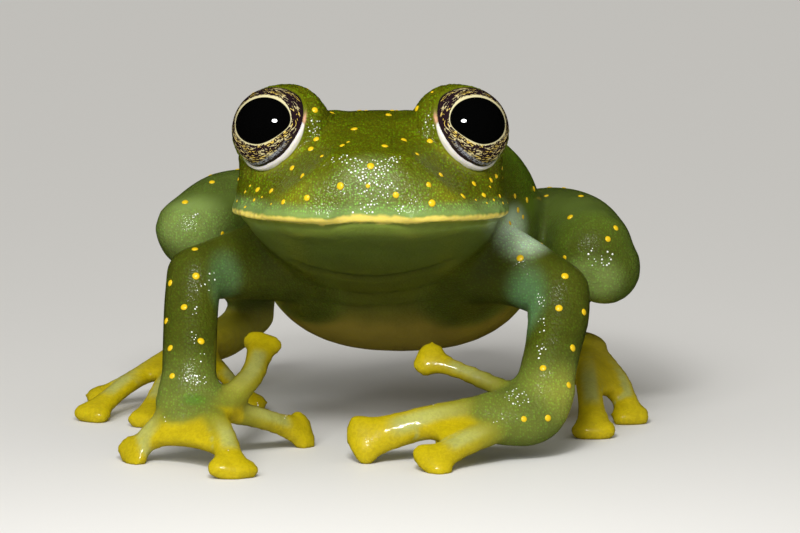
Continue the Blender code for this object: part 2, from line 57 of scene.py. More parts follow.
# ---- Camera, floor and studio light
# A long lens stands a little above the frog's eye level, over a pale painted board. A broad soft
# light and a pale room light the model evenly, and a small bright lamp gives the wet glints.
LENS = 243
SENSOR = 36
FRAME_WIDTH = 800  # pixels
FRAME_HEIGHT = 533
CAMERA_PLACE = Vector((1.11, -196.96, 35.59))
CAMERA_DIP = 8  # degrees below level
BOARD_HALF = 3000
BOARD_PALE = (0.80, 0.79, 0.76)
BOARD_ROUGHNESS = 0.6
ROOM_PALE = (1.0, 0.98, 0.94)
ROOM_STRENGTH = 0.42
SOFT_LIGHT_FROM = (-0.22, -0.80, 0.62)
SOFT_LIGHT_SPREAD = 34  # degrees across
SOFT_LIGHT_STRENGTH = 1.9
LAMP_PLACE = (-2.6, -38.5, 37.8)
LAMP_AIM = (0.0, 3.0, 9.0)
LAMP_SIDES = (12, 8)
LAMP_WATTS = 0.016

# The eyes' boxes give the step from the mark under the snout to the frame's origin.
EYE_ACROSS = 3.6
EYE_BACK = 4.6
EYE_HEIGHT = 12.45
EYE_RADIUS = 1.6
left_low, left_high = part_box("eye_left")
right_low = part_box("eye_right")[0]
STEP = Vector((
    (left_high[0] + right_low[0]) / 2 / MM,
    left_low[1] / MM + EYE_RADIUS - EYE_BACK,
    0,
))


def placed(obj):
    """Puts an object in the scene."""
    bpy.context.scene.collection.objects.link(obj)
    return obj


camera_data = bpy.data.cameras.new("camera")
camera_data.lens = LENS
camera_data.sensor_width = SENSOR
camera_data.clip_start = MM
camera_data.clip_end = BOARD_HALF * MM * 2
camera = placed(bpy.data.objects.new("camera", camera_data))
camera.location = (CAMERA_PLACE + STEP) * MM
camera.rotation_euler = (math.radians(90 - CAMERA_DIP), 0, 0)
bpy.context.scene.camera = camera
bpy.context.scene.view_settings.view_transform = "Standard"

lamp = bpy.data.lights.new("glint_lamp", "AREA")
lamp.shape = "ELLIPSE"
lamp.size, lamp.size_y = (side * MM for side in LAMP_SIDES)
lamp.energy = LAMP_WATTS
lamp_object = placed(bpy.data.objects.new("glint_lamp", lamp))
lamp_object.location = (Vector(LAMP_PLACE) + STEP) * MM
lamp_object.rotation_euler = (Vector(LAMP_AIM) - Vector(LAMP_PLACE)).to_track_quat("-Z", "Y").to_euler()

soft_light = bpy.data.lights.new("soft_light", "SUN")
soft_light.angle = math.radians(SOFT_LIGHT_SPREAD)
soft_light.energy = SOFT_LIGHT_STRENGTH
soft_object = placed(bpy.data.objects.new("soft_light", soft_light))
soft_object.rotation_euler = Vector(SOFT_LIGHT_FROM).to_track_quat("Z", "Y").to_euler()
soft_object.visible_glossy = False

room = bpy.data.worlds.new("room")
room.use_nodes = True
room.node_tree.nodes["Background"].inputs["Color"].default_value = (*ROOM_PALE, 1)
room.node_tree.nodes["Background"].inputs["Strength"].default_value = ROOM_STRENGTH
bpy.context.scene.world = room
room.cycles_visibility.glossy = False


def made(bm, name):
    """A mesh object from bm, in the scene."""
    mesh = bpy.data.meshes.new(name)
    bm.to_mesh(mesh)
    bm.free()
    return placed(bpy.data.objects.new(name, mesh))


def plain_material(name):
    """A new material, its node tree and its main shader."""
    found = bpy.data.materials.new(name)
    found.use_nodes = True
    return found, found.node_tree, found.node_tree.nodes["Principled BSDF"]


def feed(tree, to, values):
    """Sets inputs of a node to plain values, or links them to outputs of other nodes."""
    for key, value in values.items():
        if isinstance(value, bpy.types.NodeSocket):
            tree.links.new(value, to.inputs[key])
        else:
            to.inputs[key].default_value = value


bm = bmesh.new()
bmesh.ops.create_grid(bm, x_segments=1, y_segments=1, size=BOARD_HALF * MM)
board = made(bm, "floor_board")
board_paint, tree, shader = plain_material("board_paint")
feed(tree, shader, {"Base Color": (*BOARD_PALE, 1), "Roughness": BOARD_ROUGHNESS})
board.data.materials.append(board_paint)
board.visible_glossy = False


# ---- Head, jaw and trunk
# The frog's skull is broad and flat with a steep, rounded snout, and its loose throat and belly
# hang from it. Each shape is a row of upright outlines, closed into one barrel.
SIDES = 40  # points round each outline
STEPS = 6  # outlines between two given ones
UP = (0, 0, 1)
# Each row: back, across, half width, height of the widest line, top, bottom, power of the curve.
SKULL = (
    (0.05, 0.00, 1.50, 10.20, 10.95, 9.60, 2.20),
    (0.25, 0.00, 2.30, 10.00, 11.45, 9.40, 2.15),
    (0.70, 0.00, 3.05, 9.85, 11.85, 9.25, 2.05),
    (1.50, 0.00, 3.80, 9.75, 12.15, 9.10, 1.70),
    (2.60, 0.00, 4.42, 9.65, 12.42, 9.00, 1.58),
    (3.80, 0.00, 4.85, 9.60, 12.66, 8.90, 1.58),
    (5.20, 0.00, 5.08, 9.50, 12.85, 8.80, 1.80),
    (6.60, 0.00, 5.12, 9.40, 12.92, 8.60, 2.15),
    (8.20, 0.25, 4.90, 9.10, 12.80, 7.50, 2.40),
    (9.80, 0.60, 4.70, 8.60, 12.60, 6.50, 2.40),
    (11.60, 0.90, 4.20, 8.00, 12.20, 6.20, 2.40),
)
JAW = (
    (0.45, 0.00, 1.30, 9.50, 9.75, 9.10, 2.20),
    (0.80, 0.00, 2.30, 9.40, 9.80, 8.85, 2.20),
    (1.60, 0.00, 3.30, 9.35, 9.80, 8.55, 2.20),
    (2.80, 0.00, 4.10, 9.30, 9.80, 8.15, 1.85),
    (4.20, 0.00, 4.60, 9.20, 9.80, 7.55, 1.75),
    (5.60, 0.00, 4.80, 9.10, 9.80, 6.90, 1.75),
    (7.00, 0.10, 4.75, 8.90, 9.80, 6.10, 1.75),
    (8.80, 0.40, 4.50, 8.60, 9.80, 5.10, 1.90),
    (10.40, 0.60, 4.10, 8.20, 9.80, 4.60, 2.10),
)
TRUNK = (
    (7.20, 0.20, 4.20, 9.20, 12.45, 6.40, 2.40),
    (8.60, 0.40, 4.70, 8.60, 12.55, 5.00, 2.40),
    (10.20, 0.65, 5.15, 8.10, 12.45, 3.80, 2.40),
    (12.20, 1.00, 5.50, 7.60, 12.20, 2.90, 2.45),
    (14.40, 1.35, 5.40, 7.20, 11.75, 2.55, 2.40),
    (17.00, 1.75, 4.70, 6.70, 11.00, 2.50, 2.35),
    (19.60, 2.10, 3.85, 6.10, 9.90, 2.60, 2.30),
    (22.20, 2.45, 3.00, 5.50, 8.50, 2.80, 2.20),
    (24.40, 2.70, 2.25, 5.00, 7.10, 3.10, 2.10),
    (25.80, 2.85, 1.60, 4.80, 6.05, 3.50, 2.05),
    (26.50, 2.90, 0.80, 4.75, 5.40, 4.10, 2.00),
)


def smooth(stations, steps=STEPS):
    """Rows between the given ones, on a Catmull-Rom curve through them all."""
    rows = np.array(stations, float)
    rows = np.vstack([2 * rows[0] - rows[1], rows, 2 * rows[-1] - rows[-2]])
    found = []
    for before, here, there, after in zip(rows, rows[1:], rows[2:], rows[3:]):
        for t in np.arange(steps) / steps:
            slope = (there - before) * t
            bend = (2 * before - 5 * here + 4 * there - after) * t**2
            twist = (3 * here - before - 3 * there + after) * t**3
            found.append((2 * here + slope + bend + twist) / 2)
    return [*found, rows[-2]]


def rounded(value, power):
    """A sine or cosine, bent so that a circle becomes a superellipse."""
    return math.copysign(abs(value) ** (2 / power), value)


def section(bm, middle, across, upward, half_width, rise, fall, power=2.0):
    """One closed outline, rise above its middle and fall below it."""
    points = bmesh.ops.create_circle(bm, segments=SIDES, radius=1)["verts"]
    for point in points:
        out = rounded(point.co.x, power) * half_width
        height = rounded(point.co.y, power) * (rise if point.co.y > 0 else fall)
        point.co = (middle + across * out + upward * height) * MM
    return points


def outline_edges(points):
    """The edges of one outline."""
    own = set(points)
    return [e for p in points for e in p.link_edges if e.other_vert(p) in own]


def lofted(bm, sections):
    """Closes a row of outlines into one skin with an end face on each end."""
    for near, far in zip(sections, sections[1:]):
        edges = set(outline_edges(near)) | set(outline_edges(far))
        bmesh.ops.bridge_loops(bm, edges=list(edges))
    bm.faces.new(sections[0])
    bm.faces.new(sections[-1])
    bmesh.ops.recalc_face_normals(bm, faces=bm.faces)


def barrel(name, stations):
    """A head, jaw or trunk, through upright outlines."""
    bm = bmesh.new()
    sections = []
    for back, across, half_width, middle, top, bottom, power in smooth(stations):
        place = Vector((across, back, middle))
        rise, fall = top - middle, middle - bottom
        sections.append(section(bm, place, Vector((1, 0, 0)), Vector(UP), half_width, rise, fall, power))
    lofted(bm, sections)
    return made(bm, name)


shapes = [barrel("skull", SKULL), barrel("jaw", JAW), barrel("trunk", TRUNK)]


# ---- Brows, ear swellings, nostrils and lips
# Each eye sits in a round brow that stands above the skull. The nostrils are small raised rims,
# and a fleshy lip runs round the upper jaw. They grow out of the head, with no join.
EYE_OUTWARD = 24  # degrees that each eye looks away from straight ahead
EYE_UPWARD = 17
BROW_RADIUS = 1.83
BROW_SETBACK = 0.3
BROW_INWARD = 0.2
EAR = (3.3, 6.2, 11.2)
EAR_RADII = (1.7, 2.2, 1.7)
CROWN = (1.4, 6.4, 12.38)
CROWN_RADII = (0.95, 2.2, 0.58)
NOSTRIL = (1.38, 1.15, 11.72)
NOSTRIL_RADII = (0.5, 0.55, 0.42)
LIP_HEIGHT = 9.75  # at the tip of the snout
LIP_SLOPE = -0.08  # rise for each millimetre further back
LIP_RADIUS = 0.26
LIP_TUCK = 0.985  # how far out on the skull's half width the lip sits
LIP_LENGTH = 8  # of the skull's outlines, from the snout
CAP_ANGLES = (25, 50, 70, 84)  # degrees, the outlines of a limb's rounded end
BALL_SIDES = 32
BALL_RINGS = 20
# Which way the back of a hand or finger faces.
BACKS = {
    "hand_right": (0, -0.5, 0.85),
    "hand_left": (0.1, -0.7, 0.7),
    "finger_right_1": (0.2, -0.45, 0.9),
    "finger_right_2": (0.15, -0.75, 0.62),
    "finger_right_3": (0, 0.35, 0.93),
    "finger_right_4": (-0.1, -0.45, 0.9),
    "finger_left_1": (0, -0.75, 0.6),
    "finger_left_2": (0, -0.2, 1),
    "finger_left_3": (-0.1, -0.85, 0.5),
    "finger_left_4": (0.15, -0.5, 0.85),
}
TOE_BACK = (0, -0.2, 1)


def axes(ahead, back):
    """Unit vectors across, along and out of the back of a limb that points ahead."""
    ahead = Vector(ahead).normalized()
    across = ahead.cross(Vector(back)).normalized()
    return across, ahead, across.cross(ahead)


def back_of(name):
    """The way that the back of a limb or digit faces."""
    return BACKS.get(name, TOE_BACK if name.startswith("toe") else UP)


def limb(name, stations):
    """A round or flattened tube through its stations, with a rounded cap on each end."""
    rows = smooth(stations)
    places = [Vector(row[:3]) for row in rows]
    rings = []
    for i, row in enumerate(rows):
        ahead = places[min(i + 1, len(rows) - 1)] - places[max(i - 1, 0)]
        rings.append((places[i], axes(ahead, back_of(name)), row[3], row[4]))
    caps = [[], []]
    for cap, (place, turn, width, height), way in zip(caps, (rings[0], rings[-1]), (-1, 1)):
        for angle in CAP_ANGLES:
            reach = way * (width + height) / 2 * math.sin(math.radians(angle))
            left = math.cos(math.radians(angle))
            cap.append((place + turn[1] * reach, turn, width * left, height * left))
    bm = bmesh.new()
    sections = []
    for place, (across, _, upward), width, height in [*reversed(caps[0]), *rings, *caps[1]]:
        sections.append(section(bm, place, across, upward, width, height, height))
    lofted(bm, sections)
    return made(bm, name)


def pebble(name, middle, radii, turn=None, power=2.0):
    """An ellipsoid, or with a higher power a squarer one, turned onto the given axes."""
    bm = bmesh.new()
    points = bmesh.ops.create_uvsphere(bm, u_segments=BALL_SIDES, v_segments=BALL_RINGS, radius=1)["verts"]
    turn = turn or Matrix.Identity(3)
    for point in points:
        shape = Vector([rounded(value, power) * radius for value, radius in zip(point.co, radii)])
        point.co = (turn @ shape + Vector(middle)) * MM
    return made(bm, name)


def gaze(side):
    """Where the eye on this side looks: -1 is the frog's right, 1 its left."""
    outward, upward = math.radians(EYE_OUTWARD), math.radians(EYE_UPWARD)
    level = math.cos(upward)
    return Vector((side * math.sin(outward) * level, -math.cos(outward) * level, math.sin(upward)))


def eye_centre(side):
    return Vector((side * EYE_ACROSS, EYE_BACK, EYE_HEIGHT))


for side in (-1, 1):
    brow = eye_centre(side) - gaze(side) * BROW_SETBACK - Vector((side * BROW_INWARD, 0, 0))
    shapes.append(pebble("brow", brow, (BROW_RADIUS,) * 3))
    shapes.append(pebble("ear", (side * EAR[0], *EAR[1:]), EAR_RADII))
    shapes.append(pebble("crown", (side * CROWN[0], *CROWN[1:]), CROWN_RADII))
    shapes.append(pebble("nostril", (side * NOSTRIL[0], *NOSTRIL[1:]), NOSTRIL_RADII))
    lip_line = []
    for back, _, half_width, *_ in SKULL[:LIP_LENGTH]:
        height = LIP_HEIGHT + LIP_SLOPE * back
        lip_line.append((side * half_width * LIP_TUCK, back, height, LIP_RADIUS, LIP_RADIUS))
    shapes.append(limb("lip", lip_line))


# ---- Arms and legs
# Slim, soft limbs, folded as the frog crouches: forearms as thick as the upper arms, long thighs
# and shanks laid along the flanks. Each is a soft tube that melts into its neighbours.
# Each row: across, back, up, half width, half thickness, from the body outwards.
LIMBS = {
    "upper_arm_right": (
        (-3.0, 9.8, 7.0, 1.9, 1.9),
        (-4.7, 8.9, 6.8, 1.4, 1.45),
        (-6.1, 8.0, 6.65, 1.15, 1.15),
        (-6.75, 7.4, 6.55, 1.1, 1.1),
    ),
    "forearm_right": (
        (-6.75, 7.35, 6.55, 1.08, 1.06),
        (-6.85, 6.7, 5.4, 1.06, 1.02),
        (-6.87, 5.6, 4.1, 1.05, 0.98),
        (-6.87, 4.7, 3.1, 1.05, 0.9),
    ),
    "hand_right": (
        (-6.87, 4.7, 3.0, 1.08, 0.85),
        (-6.85, 4.0, 2.35, 1.28, 0.62),
        (-6.75, 3.45, 1.85, 1.32, 0.48),
    ),
    "upper_arm_left": (
        (4.0, 9.8, 6.9, 1.9, 1.9),
        (5.5, 8.9, 6.55, 1.45, 1.45),
        (6.65, 8.1, 6.1, 1.25, 1.25),
        (7.2, 7.6, 5.85, 1.2, 1.2),
    ),
    "forearm_left": (
        (7.22, 7.5, 5.85, 1.2, 1.15),
        (7.15, 6.9, 4.9, 1.18, 1.1),
        (6.9, 6.0, 3.8, 1.08, 1.05),
        (6.6, 5.1, 2.6, 1.12, 1.05),
    ),
    "hand_left": (
        (6.6, 5.0, 2.5, 1.2, 1.0),
        (6.1, 4.4, 1.7, 1.25, 1.0),
        (5.2, 3.9, 1.6, 1.2, 0.85),
        (4.5, 3.7, 1.65, 1.1, 0.7),
    ),
    "thigh_right": (
        (0.6, 21.8, 5.8, 1.6, 1.7),
        (-2.9, 18.0, 7.0, 1.9, 2.0),
        (-5.5, 14.7, 8.0, 1.65, 1.7),
        (-7.2, 12.8, 7.6, 1.3, 1.3),
    ),
    "shank_right": (
        (-7.2, 12.9, 7.25, 1.18, 1.12),
        (-6.5, 15.9, 6.4, 1.3, 1.3),
        (-5.6, 20.0, 4.9, 1.1, 1.1),
        (-4.9, 23.4, 3.2, 0.9, 0.9),
    ),
    "foot_right": (
        (-4.9, 23.6, 2.6, 0.85, 0.85),
        (-6.1, 20.4, 2.1, 0.9, 0.8),
        (-7.3, 17.8, 2.1, 1.1, 0.72),
    ),
    "thigh_left": (
        (4.2, 21.8, 5.7, 1.6, 1.7),
        (6.8, 18.0, 6.6, 1.9, 1.95),
        (8.0, 14.2, 7.1, 1.75, 1.8),
        (8.6, 11.9, 6.9, 1.65, 1.65),
    ),
    "shank_left": (
        (9.1, 11.8, 6.2, 1.42, 1.45),
        (9.1, 15.2, 5.9, 1.3, 1.25),
        (8.2, 19.6, 4.6, 1.1, 1.1),
        (7.2, 23.0, 2.7, 0.9, 0.9),
    ),
    "foot_left": (
        (7.2, 23.2, 2.2, 0.85, 0.85),
        (7.8, 19.4, 2.0, 0.9, 0.75),
        (8.3, 16.2, 2.3, 1.15, 0.7),
    ),
}
for name, stations in LIMBS.items():
    shapes.append(limb(name, stations))


# ---- Fingers, toes and webs
# Flattened digits end in wide pads that grip leaves, and a thin web joins the outer ones. Each
# digit is a tube with a squared pebble for its pad, and each web is a sheet with soft edges.
# Each digit: knuckle, mid joint and pad, its half width, and the pad's half width.
DIGITS = {
    "finger_right_1": (((-5.8, 3.5, 1.9), (-4.6, 5.1, 2.9), (-4.15, 7.3, 3.9)), 0.52, 0.78),
    "finger_right_2": (((-5.9, 3.7, 2.0), (-4.3, 5.2, 1.4), (-2.65, 7.0, 0.52)), 0.50, 0.92),
    "finger_right_3": (((-5.9, 3.0, 1.7), (-5.45, 1.7, 1.15), (-5.1, 0.1, 0.32)), 0.56, 1.02),
    "finger_right_4": (((-7.3, 3.7, 1.9), (-8.1, 3.5, 1.2), (-8.95, 3.5, 0.32)), 0.52, 0.90),
    "finger_left_1": (((5.5, 4.9, 2.3), (4.0, 5.5, 2.9), (2.2, 6.1, 3.5)), 0.40, 0.74),
    "finger_left_2": (((5.0, 4.3, 1.6), (4.1, 5.6, 0.9), (3.1, 6.9, 0.32)), 0.46, 0.80),
    "finger_left_3": (((4.9, 3.9, 1.85), (2.4, 3.7, 1.5), (-0.3, 3.4, 0.86)), 0.70, 1.06),
    "finger_left_4": (((4.9, 3.3, 1.35), (3.7, 2.4, 0.95), (2.3, 1.4, 0.38)), 0.56, 0.96),
    "toe_right_1": (((-6.7, 17.9, 1.8), (-5.8, 16.4, 1.1), (-4.8, 14.9, 0.3)), 0.40, 0.66),
    "toe_right_2": (((-7.0, 17.5, 1.9), (-6.7, 15.0, 1.2), (-6.3, 12.8, 0.3)), 0.42, 0.70),
    "toe_right_3": (((-7.4, 17.2, 1.95), (-8.2, 14.1, 1.25), (-8.8, 11.3, 0.3)), 0.46, 0.76),
    "toe_right_4": (((-7.8, 17.3, 1.95), (-9.6, 14.7, 1.2), (-11.0, 12.6, 0.3)), 0.50, 0.80),
    "toe_right_5": (((-7.8, 17.7, 1.9), (-9.4, 17.0, 1.1), (-10.9, 16.4, 0.3)), 0.46, 0.76),
    "toe_left_1": (((7.9, 16.4, 2.0), (6.4, 15.8, 1.2), (4.9, 15.2, 0.3)), 0.40, 0.66),
    "toe_left_2": (((8.1, 16.0, 2.1), (6.7, 14.3, 1.2), (5.2, 12.8, 0.3)), 0.42, 0.70),
    "toe_left_3": (((8.3, 15.8, 2.2), (7.2, 12.7, 1.35), (6.2, 9.8, 0.3)), 0.46, 0.76),
    "toe_left_4": (((8.5, 15.8, 2.25), (8.5, 12.0, 1.6), (8.6, 8.7, 0.3)), 0.56, 0.92),
    "toe_left_5": (((8.8, 16.1, 2.2), (9.7, 14.0, 1.4), (10.15, 12.0, 0.3)), 0.52, 0.80),
}
DISC_HALF_LENGTH = 0.52
DISC_HALF_THICKNESS = 0.36
DISC_POWER = 2.8
DIGIT_FLATNESS = 0.75
KNUCKLE_SWELL = 1.12
FLARE_START = 0.76  # of the digit's length, where it starts to widen into its disc
FLARE_WIDTH = 0.86  # of the disc's half width, under the disc
# Each web: its two digits, how far out it reaches on each, and how far its free edge draws in.
WEBS = (
    ("finger_right_3", "finger_right_4", 0.90, 0.92, 0.22),
    ("finger_right_2", "finger_right_3", 0.36, 0.50, 0.35),
    ("finger_left_3", "finger_left_4", 0.72, 0.80, 0.12),
    ("toe_right_1", "toe_right_2", 0.45, 0.40, 0.30),
    ("toe_right_2", "toe_right_3", 0.50, 0.45, 0.30),
    ("toe_right_3", "toe_right_4", 0.55, 0.55, 0.30),
    ("toe_right_4", "toe_right_5", 0.50, 0.55, 0.30),
    ("toe_left_1", "toe_left_2", 0.45, 0.40, 0.30),
    ("toe_left_2", "toe_left_3", 0.50, 0.40, 0.30),
    ("toe_left_3", "toe_left_4", 0.60, 0.60, 0.30),
    ("toe_left_4", "toe_left_5", 0.84, 0.86, 0.24),
)
WEB_HALF_THICKNESS = 0.32
WEB_ROWS = 10
WEB_COLUMNS = 12


def along(path, share):
    """The point at a share of a digit's path."""
    spots = [Vector(row) for row in smooth(path)]
    spot = share * (len(spots) - 1)
    before = min(int(spot), len(spots) - 2)
    return spots[before].lerp(spots[before + 1], spot - before)


def digit_stations(path, half_width, disc_half_width):
    """A digit's path with its widths, for a limb that flares into its disc."""
    knuckle, middle, tip = path
    narrow = half_width * DIGIT_FLATNESS
    return [
        (*knuckle, half_width * KNUCKLE_SWELL, narrow * KNUCKLE_SWELL),
        (*middle, half_width, narrow),
        (*along(path, FLARE_START), half_width, narrow),
        (*tip, disc_half_width * FLARE_WIDTH, DISC_HALF_THICKNESS),
    ]


for name, (path, half_width, disc_half_width) in DIGITS.items():
    shapes.append(limb(name, digit_stations(path, half_width, disc_half_width)))
    turn = Matrix(axes(Vector(path[-1]) - Vector(path[-2]), back_of(name))).transposed()
    radii = (disc_half_width, DISC_HALF_LENGTH, DISC_HALF_THICKNESS)
    shapes.append(pebble(name, path[-1], radii, turn, DISC_POWER))


def in_web(span, side, out):
    """A place in a web, by how far it is from one digit to the other and out from the knuckles."""
    one, two, reach_one, reach_two, drawn_in = span
    out *= 1 - drawn_in * 4 * side * (1 - side)
    here = along(DIGITS[one][0], out * reach_one)
    there = along(DIGITS[two][0], out * reach_two)
    return here.lerp(there, side)


for span in WEBS:
    bm = bmesh.new()
    bmesh.ops.create_grid(bm, x_segments=WEB_COLUMNS, y_segments=WEB_ROWS, size=0.5)
    for point in bm.verts:
        point.co = in_web(span, point.co.x + 0.5, point.co.y + 0.5) * MM
    web = made(bm, "web")
    thickness = web.modifiers.new("thickness", "SOLIDIFY")
    thickness.thickness = 2 * WEB_HALF_THICKNESS * MM
    thickness.offset = 0
    shapes.append(web)


# ---- The skin
# One moist, thin, faintly granular skin with green flesh showing through it, drawn tight over
# the whole frog. All the shapes above are fused, softened and then worked with lids and folds.
GRAIN = 0.18  # cell that fuses the shapes into one skin
SOFTENING = 8  # rounds of smoothing over the fused skin
FACE_BACK = 7.6  # the face is worked finer, from the snout back to here
FACE_LOW = 8.7
LID_FINE = (52, 92)  # degrees from the gaze, where the lids are worked finest
LID_FINE_REACH = 1.3  # of the eye's radius

# Round each eye, at each bearing (0 towards the nose, 90 up, -90 down): degrees from the gaze to
# the edge of the lids, and to the outer edge of the white of the lower lid.
LIDS = (
    (-180, 80.0, 81.0), (-150, 83.0, 85.0), (-125, 84.0, 88.0), (-110, 79.0, 86.0),
    (-99, 73.5, 83.0), (-79, 63.4, 74.0), (-61, 59.3, 67.5), (-44, 57.2, 66.0), (-28, 56.4, 65.5),
    (-14, 58.0, 66.0), (-5, 60.0, 66.5), (5, 63.0, 67.0), (14, 65.4, 67.5), (34, 73.0, 75.0),
    (55, 84.0, 86.0), (90, 87.0, 88.0), (135, 84.0, 85.0), (180, 80.0, 81.0),
)
LID_EDGE = 2.2  # degrees that the lid takes to rise out of the eye
LID_HIDDEN = -0.12  # depth of the skin under the eyeball
LID_RISE = 0.07  # height of the lid's edge over the eyeball
LID_ROUNDING = 3  # degrees over which the lid's edge reaches that height
LID_BLEND = 18  # degrees from the lid's edge to where the brow's own shape takes over
BROW_OWN = (1.85, 2.10)  # distance from the eye's middle over which the brow keeps its shape
LID_REACH = (1.9, 2.2)  # distances over which the lid's colours end
WHITE_REACH = (1.67, 1.86)
BARE_REACH = (1.72, 1.86)
WHITE_DIMMED = (60, 115)  # degrees below level, where the white lid falls into shade
PINK_BEARING = 14  # the pink corner at the nose
PINK_SPREAD = 9
PINK_OUT = 2.0  # degrees out from the lid's edge, and its spread
# Under the eye the cheek falls away: distance from the eye's middle, and degrees short of the lid.
CHEEK_FALL = ((1.68, 0.0), (2.0, 1.0), (2.5, 3.0), (4.0, 10.0))
CHEEK_SOFTNESS = 3.0  # degrees over which the fall sets in
CHEEK_TILT = 25  # degrees that the cheek's upper limit is turned from level
CHEEK_STARTS = (1.70, 1.80)  # distances from the eye's middle
CHEEK_ENDS = (3.0, 4.5)
SOFT_STARTS = (1.95, 2.35)  # the cheek is then smoothed, between these distances
SOFT_ENDS = (4.4, 5.6)
SOFT_HEIGHTS = (9.85, 10.3)
SOFT_SHARE = 0.7
CHEEK_ROUNDS = 90  # of smoothing over the cheek, once it is turned

MOUTH_DROP = 0.22  # from the pale stripe's middle down to the mouth's crease
MOUTH_DEPTH = 0.10
MOUTH_WIDTH = 0.07
MUZZLE_ENDS = (6.6, 7.6)
MUZZLE_LOW = (7.9, 8.5)
# The pale stripe on the lip wanders below or above the lip's ridge: across, step.
STRIPE_WAVE = (
    (-5.0, -0.02), (-4.2, -0.10), (-3.3, -0.12), (-1.7, -0.21), (-0.6, -0.06), (0.6, -0.08),
    (1.3, -0.15), (2.4, -0.08), (3.3, -0.10), (5.0, -0.15),
)
STRIPE_HALF = 0.16
STRIPE_MIDDLE_HALF = 0.23
STRIPE_MIDDLE_SPREAD = 1.6

THROAT_FOLDS = (  # back, height at the middle, rise away from it, depth, half width
    (6.0, 6.57, 0.07, 0.13, 0.12),
    (7.4, 5.75, 0.06, 0.05, 0.09),
    (8.6, 5.10, 0.05, 0.06, 0.12),
)
FOLD_ACROSS = (2.0, 3.6)  # where the folds end to each side
FOLD_REACH = (1.5, 2.5)  # and before and behind their line
PIT = ((1.62, 0.62, 11.60), 0.13, 0.16)  # a nostril's hole: place, radius, depth
FACE_GRAIN_PITCH = 0.13
FACE_GRAIN_HEIGHT = 0.05
FACE_GRAIN_STARTS = (9.6, 10.2)  # heights
FACE_GRAIN_ENDS = (6.4, 7.4)  # distances back from the snout
FACE_GRAIN_LIP_GAP = (0.25, 0.8)


def evaluated(obj):
    """The object's mesh with its modifiers applied."""
    graph = bpy.context.evaluated_depsgraph_get()
    return bpy.data.meshes.new_from_object(obj.evaluated_get(graph), depsgraph=graph)


def ease(value, low, high):
    """0 at low, 1 at high, and a smooth run between."""
    share = np.clip((value - low) / (high - low), 0, 1)
    return share * share * (3 - 2 * share)


def fade(value, low, high):
    """1 at low, 0 at high, and a smooth run between."""
    return 1 - ease(value, low, high)


bm = bmesh.new()
for shape in shapes:
    bm.from_mesh(evaluated(shape))
    bpy.data.objects.remove(shape)
flesh = made(bm, "flesh")
fuse = flesh.modifiers.new("fuse", "REMESH")
fuse.mode = "VOXEL"
fuse.voxel_size = GRAIN * MM
soften = flesh.modifiers.new("soften", "SMOOTH")
soften.iterations = SOFTENING
skin_mesh = evaluated(flesh)
bpy.data.objects.remove(flesh)


def refined(bm, chosen, rounds):
    """Splits the edges between chosen points in two and evens out what comes of it."""
    edges = [edge for edge in bm.edges if all(chosen(vert.co / MM) for vert in edge.verts)]
    bmesh.ops.subdivide_edges(bm, edges=edges, cuts=1, use_grid_fill=True)
    for _ in range(rounds):
        verts = [vert for vert in bm.verts if chosen(vert.co / MM)]
        bmesh.ops.smooth_vert(bm, verts=verts, factor=0.5, use_axis_x=True, use_axis_y=True, use_axis_z=True)


def on_face(spot):
    return spot.y < FACE_BACK and spot.z > FACE_LOW


def on_lid(spot):
    side = -1 if spot.x < 0 else 1
    out = spot - eye_centre(side)
    angle = math.degrees(out.angle(gaze(side)))
    return LID_FINE[0] < angle < LID_FINE[1] and out.length < EYE_RADIUS * LID_FINE_REACH


bm = bmesh.new()
bm.from_mesh(skin_mesh)
refined(bm, on_face, 2)
refined(bm, on_lid, 1)
bm.normal_update()
skin = made(bm, "skin")
spots = np.array([vert.co for vert in skin.data.vertices]) / MM
outward = np.array([vert.normal for vert in skin.data.vertices])
count = len(spots)


def round_the_eye(points, side):
    """How far points lie from an eye's middle, their angle from its gaze, and their bearing.

    The bearing is 0 towards the nose, 90 up and -90 down, in degrees.
    """
    ahead = np.array(gaze(side))
    inward = np.cross(ahead, UP) * side
    inward = inward / np.linalg.norm(inward)
    raised = np.cross(ahead, inward) * -side
    raised *= np.sign(raised[2])
    out = points - np.array(eye_centre(side))
    far = np.linalg.norm(out, axis=1)
    angle = np.degrees(np.arccos(np.clip(out @ ahead / far, -1, 1)))
    bearing = np.degrees(np.arctan2(out @ raised, out @ inward))
    return out, far, angle, bearing


joined = np.array([edge.vertices for edge in skin.data.edges])
ends = np.concatenate([joined[:, 0], joined[:, 1]])
others = np.concatenate([joined[:, 1], joined[:, 0]])
neighbours = np.bincount(ends, minlength=count)


def softened(points, share, rounds):
    """Moves points towards the middle of their neighbours, each by its own share."""
    for _ in range(rounds):
        middles = [np.bincount(ends, points[others, axis], count) / neighbours for axis in range(3)]
        points = points + (np.array(middles).T - points) * share[:, None]
    return points


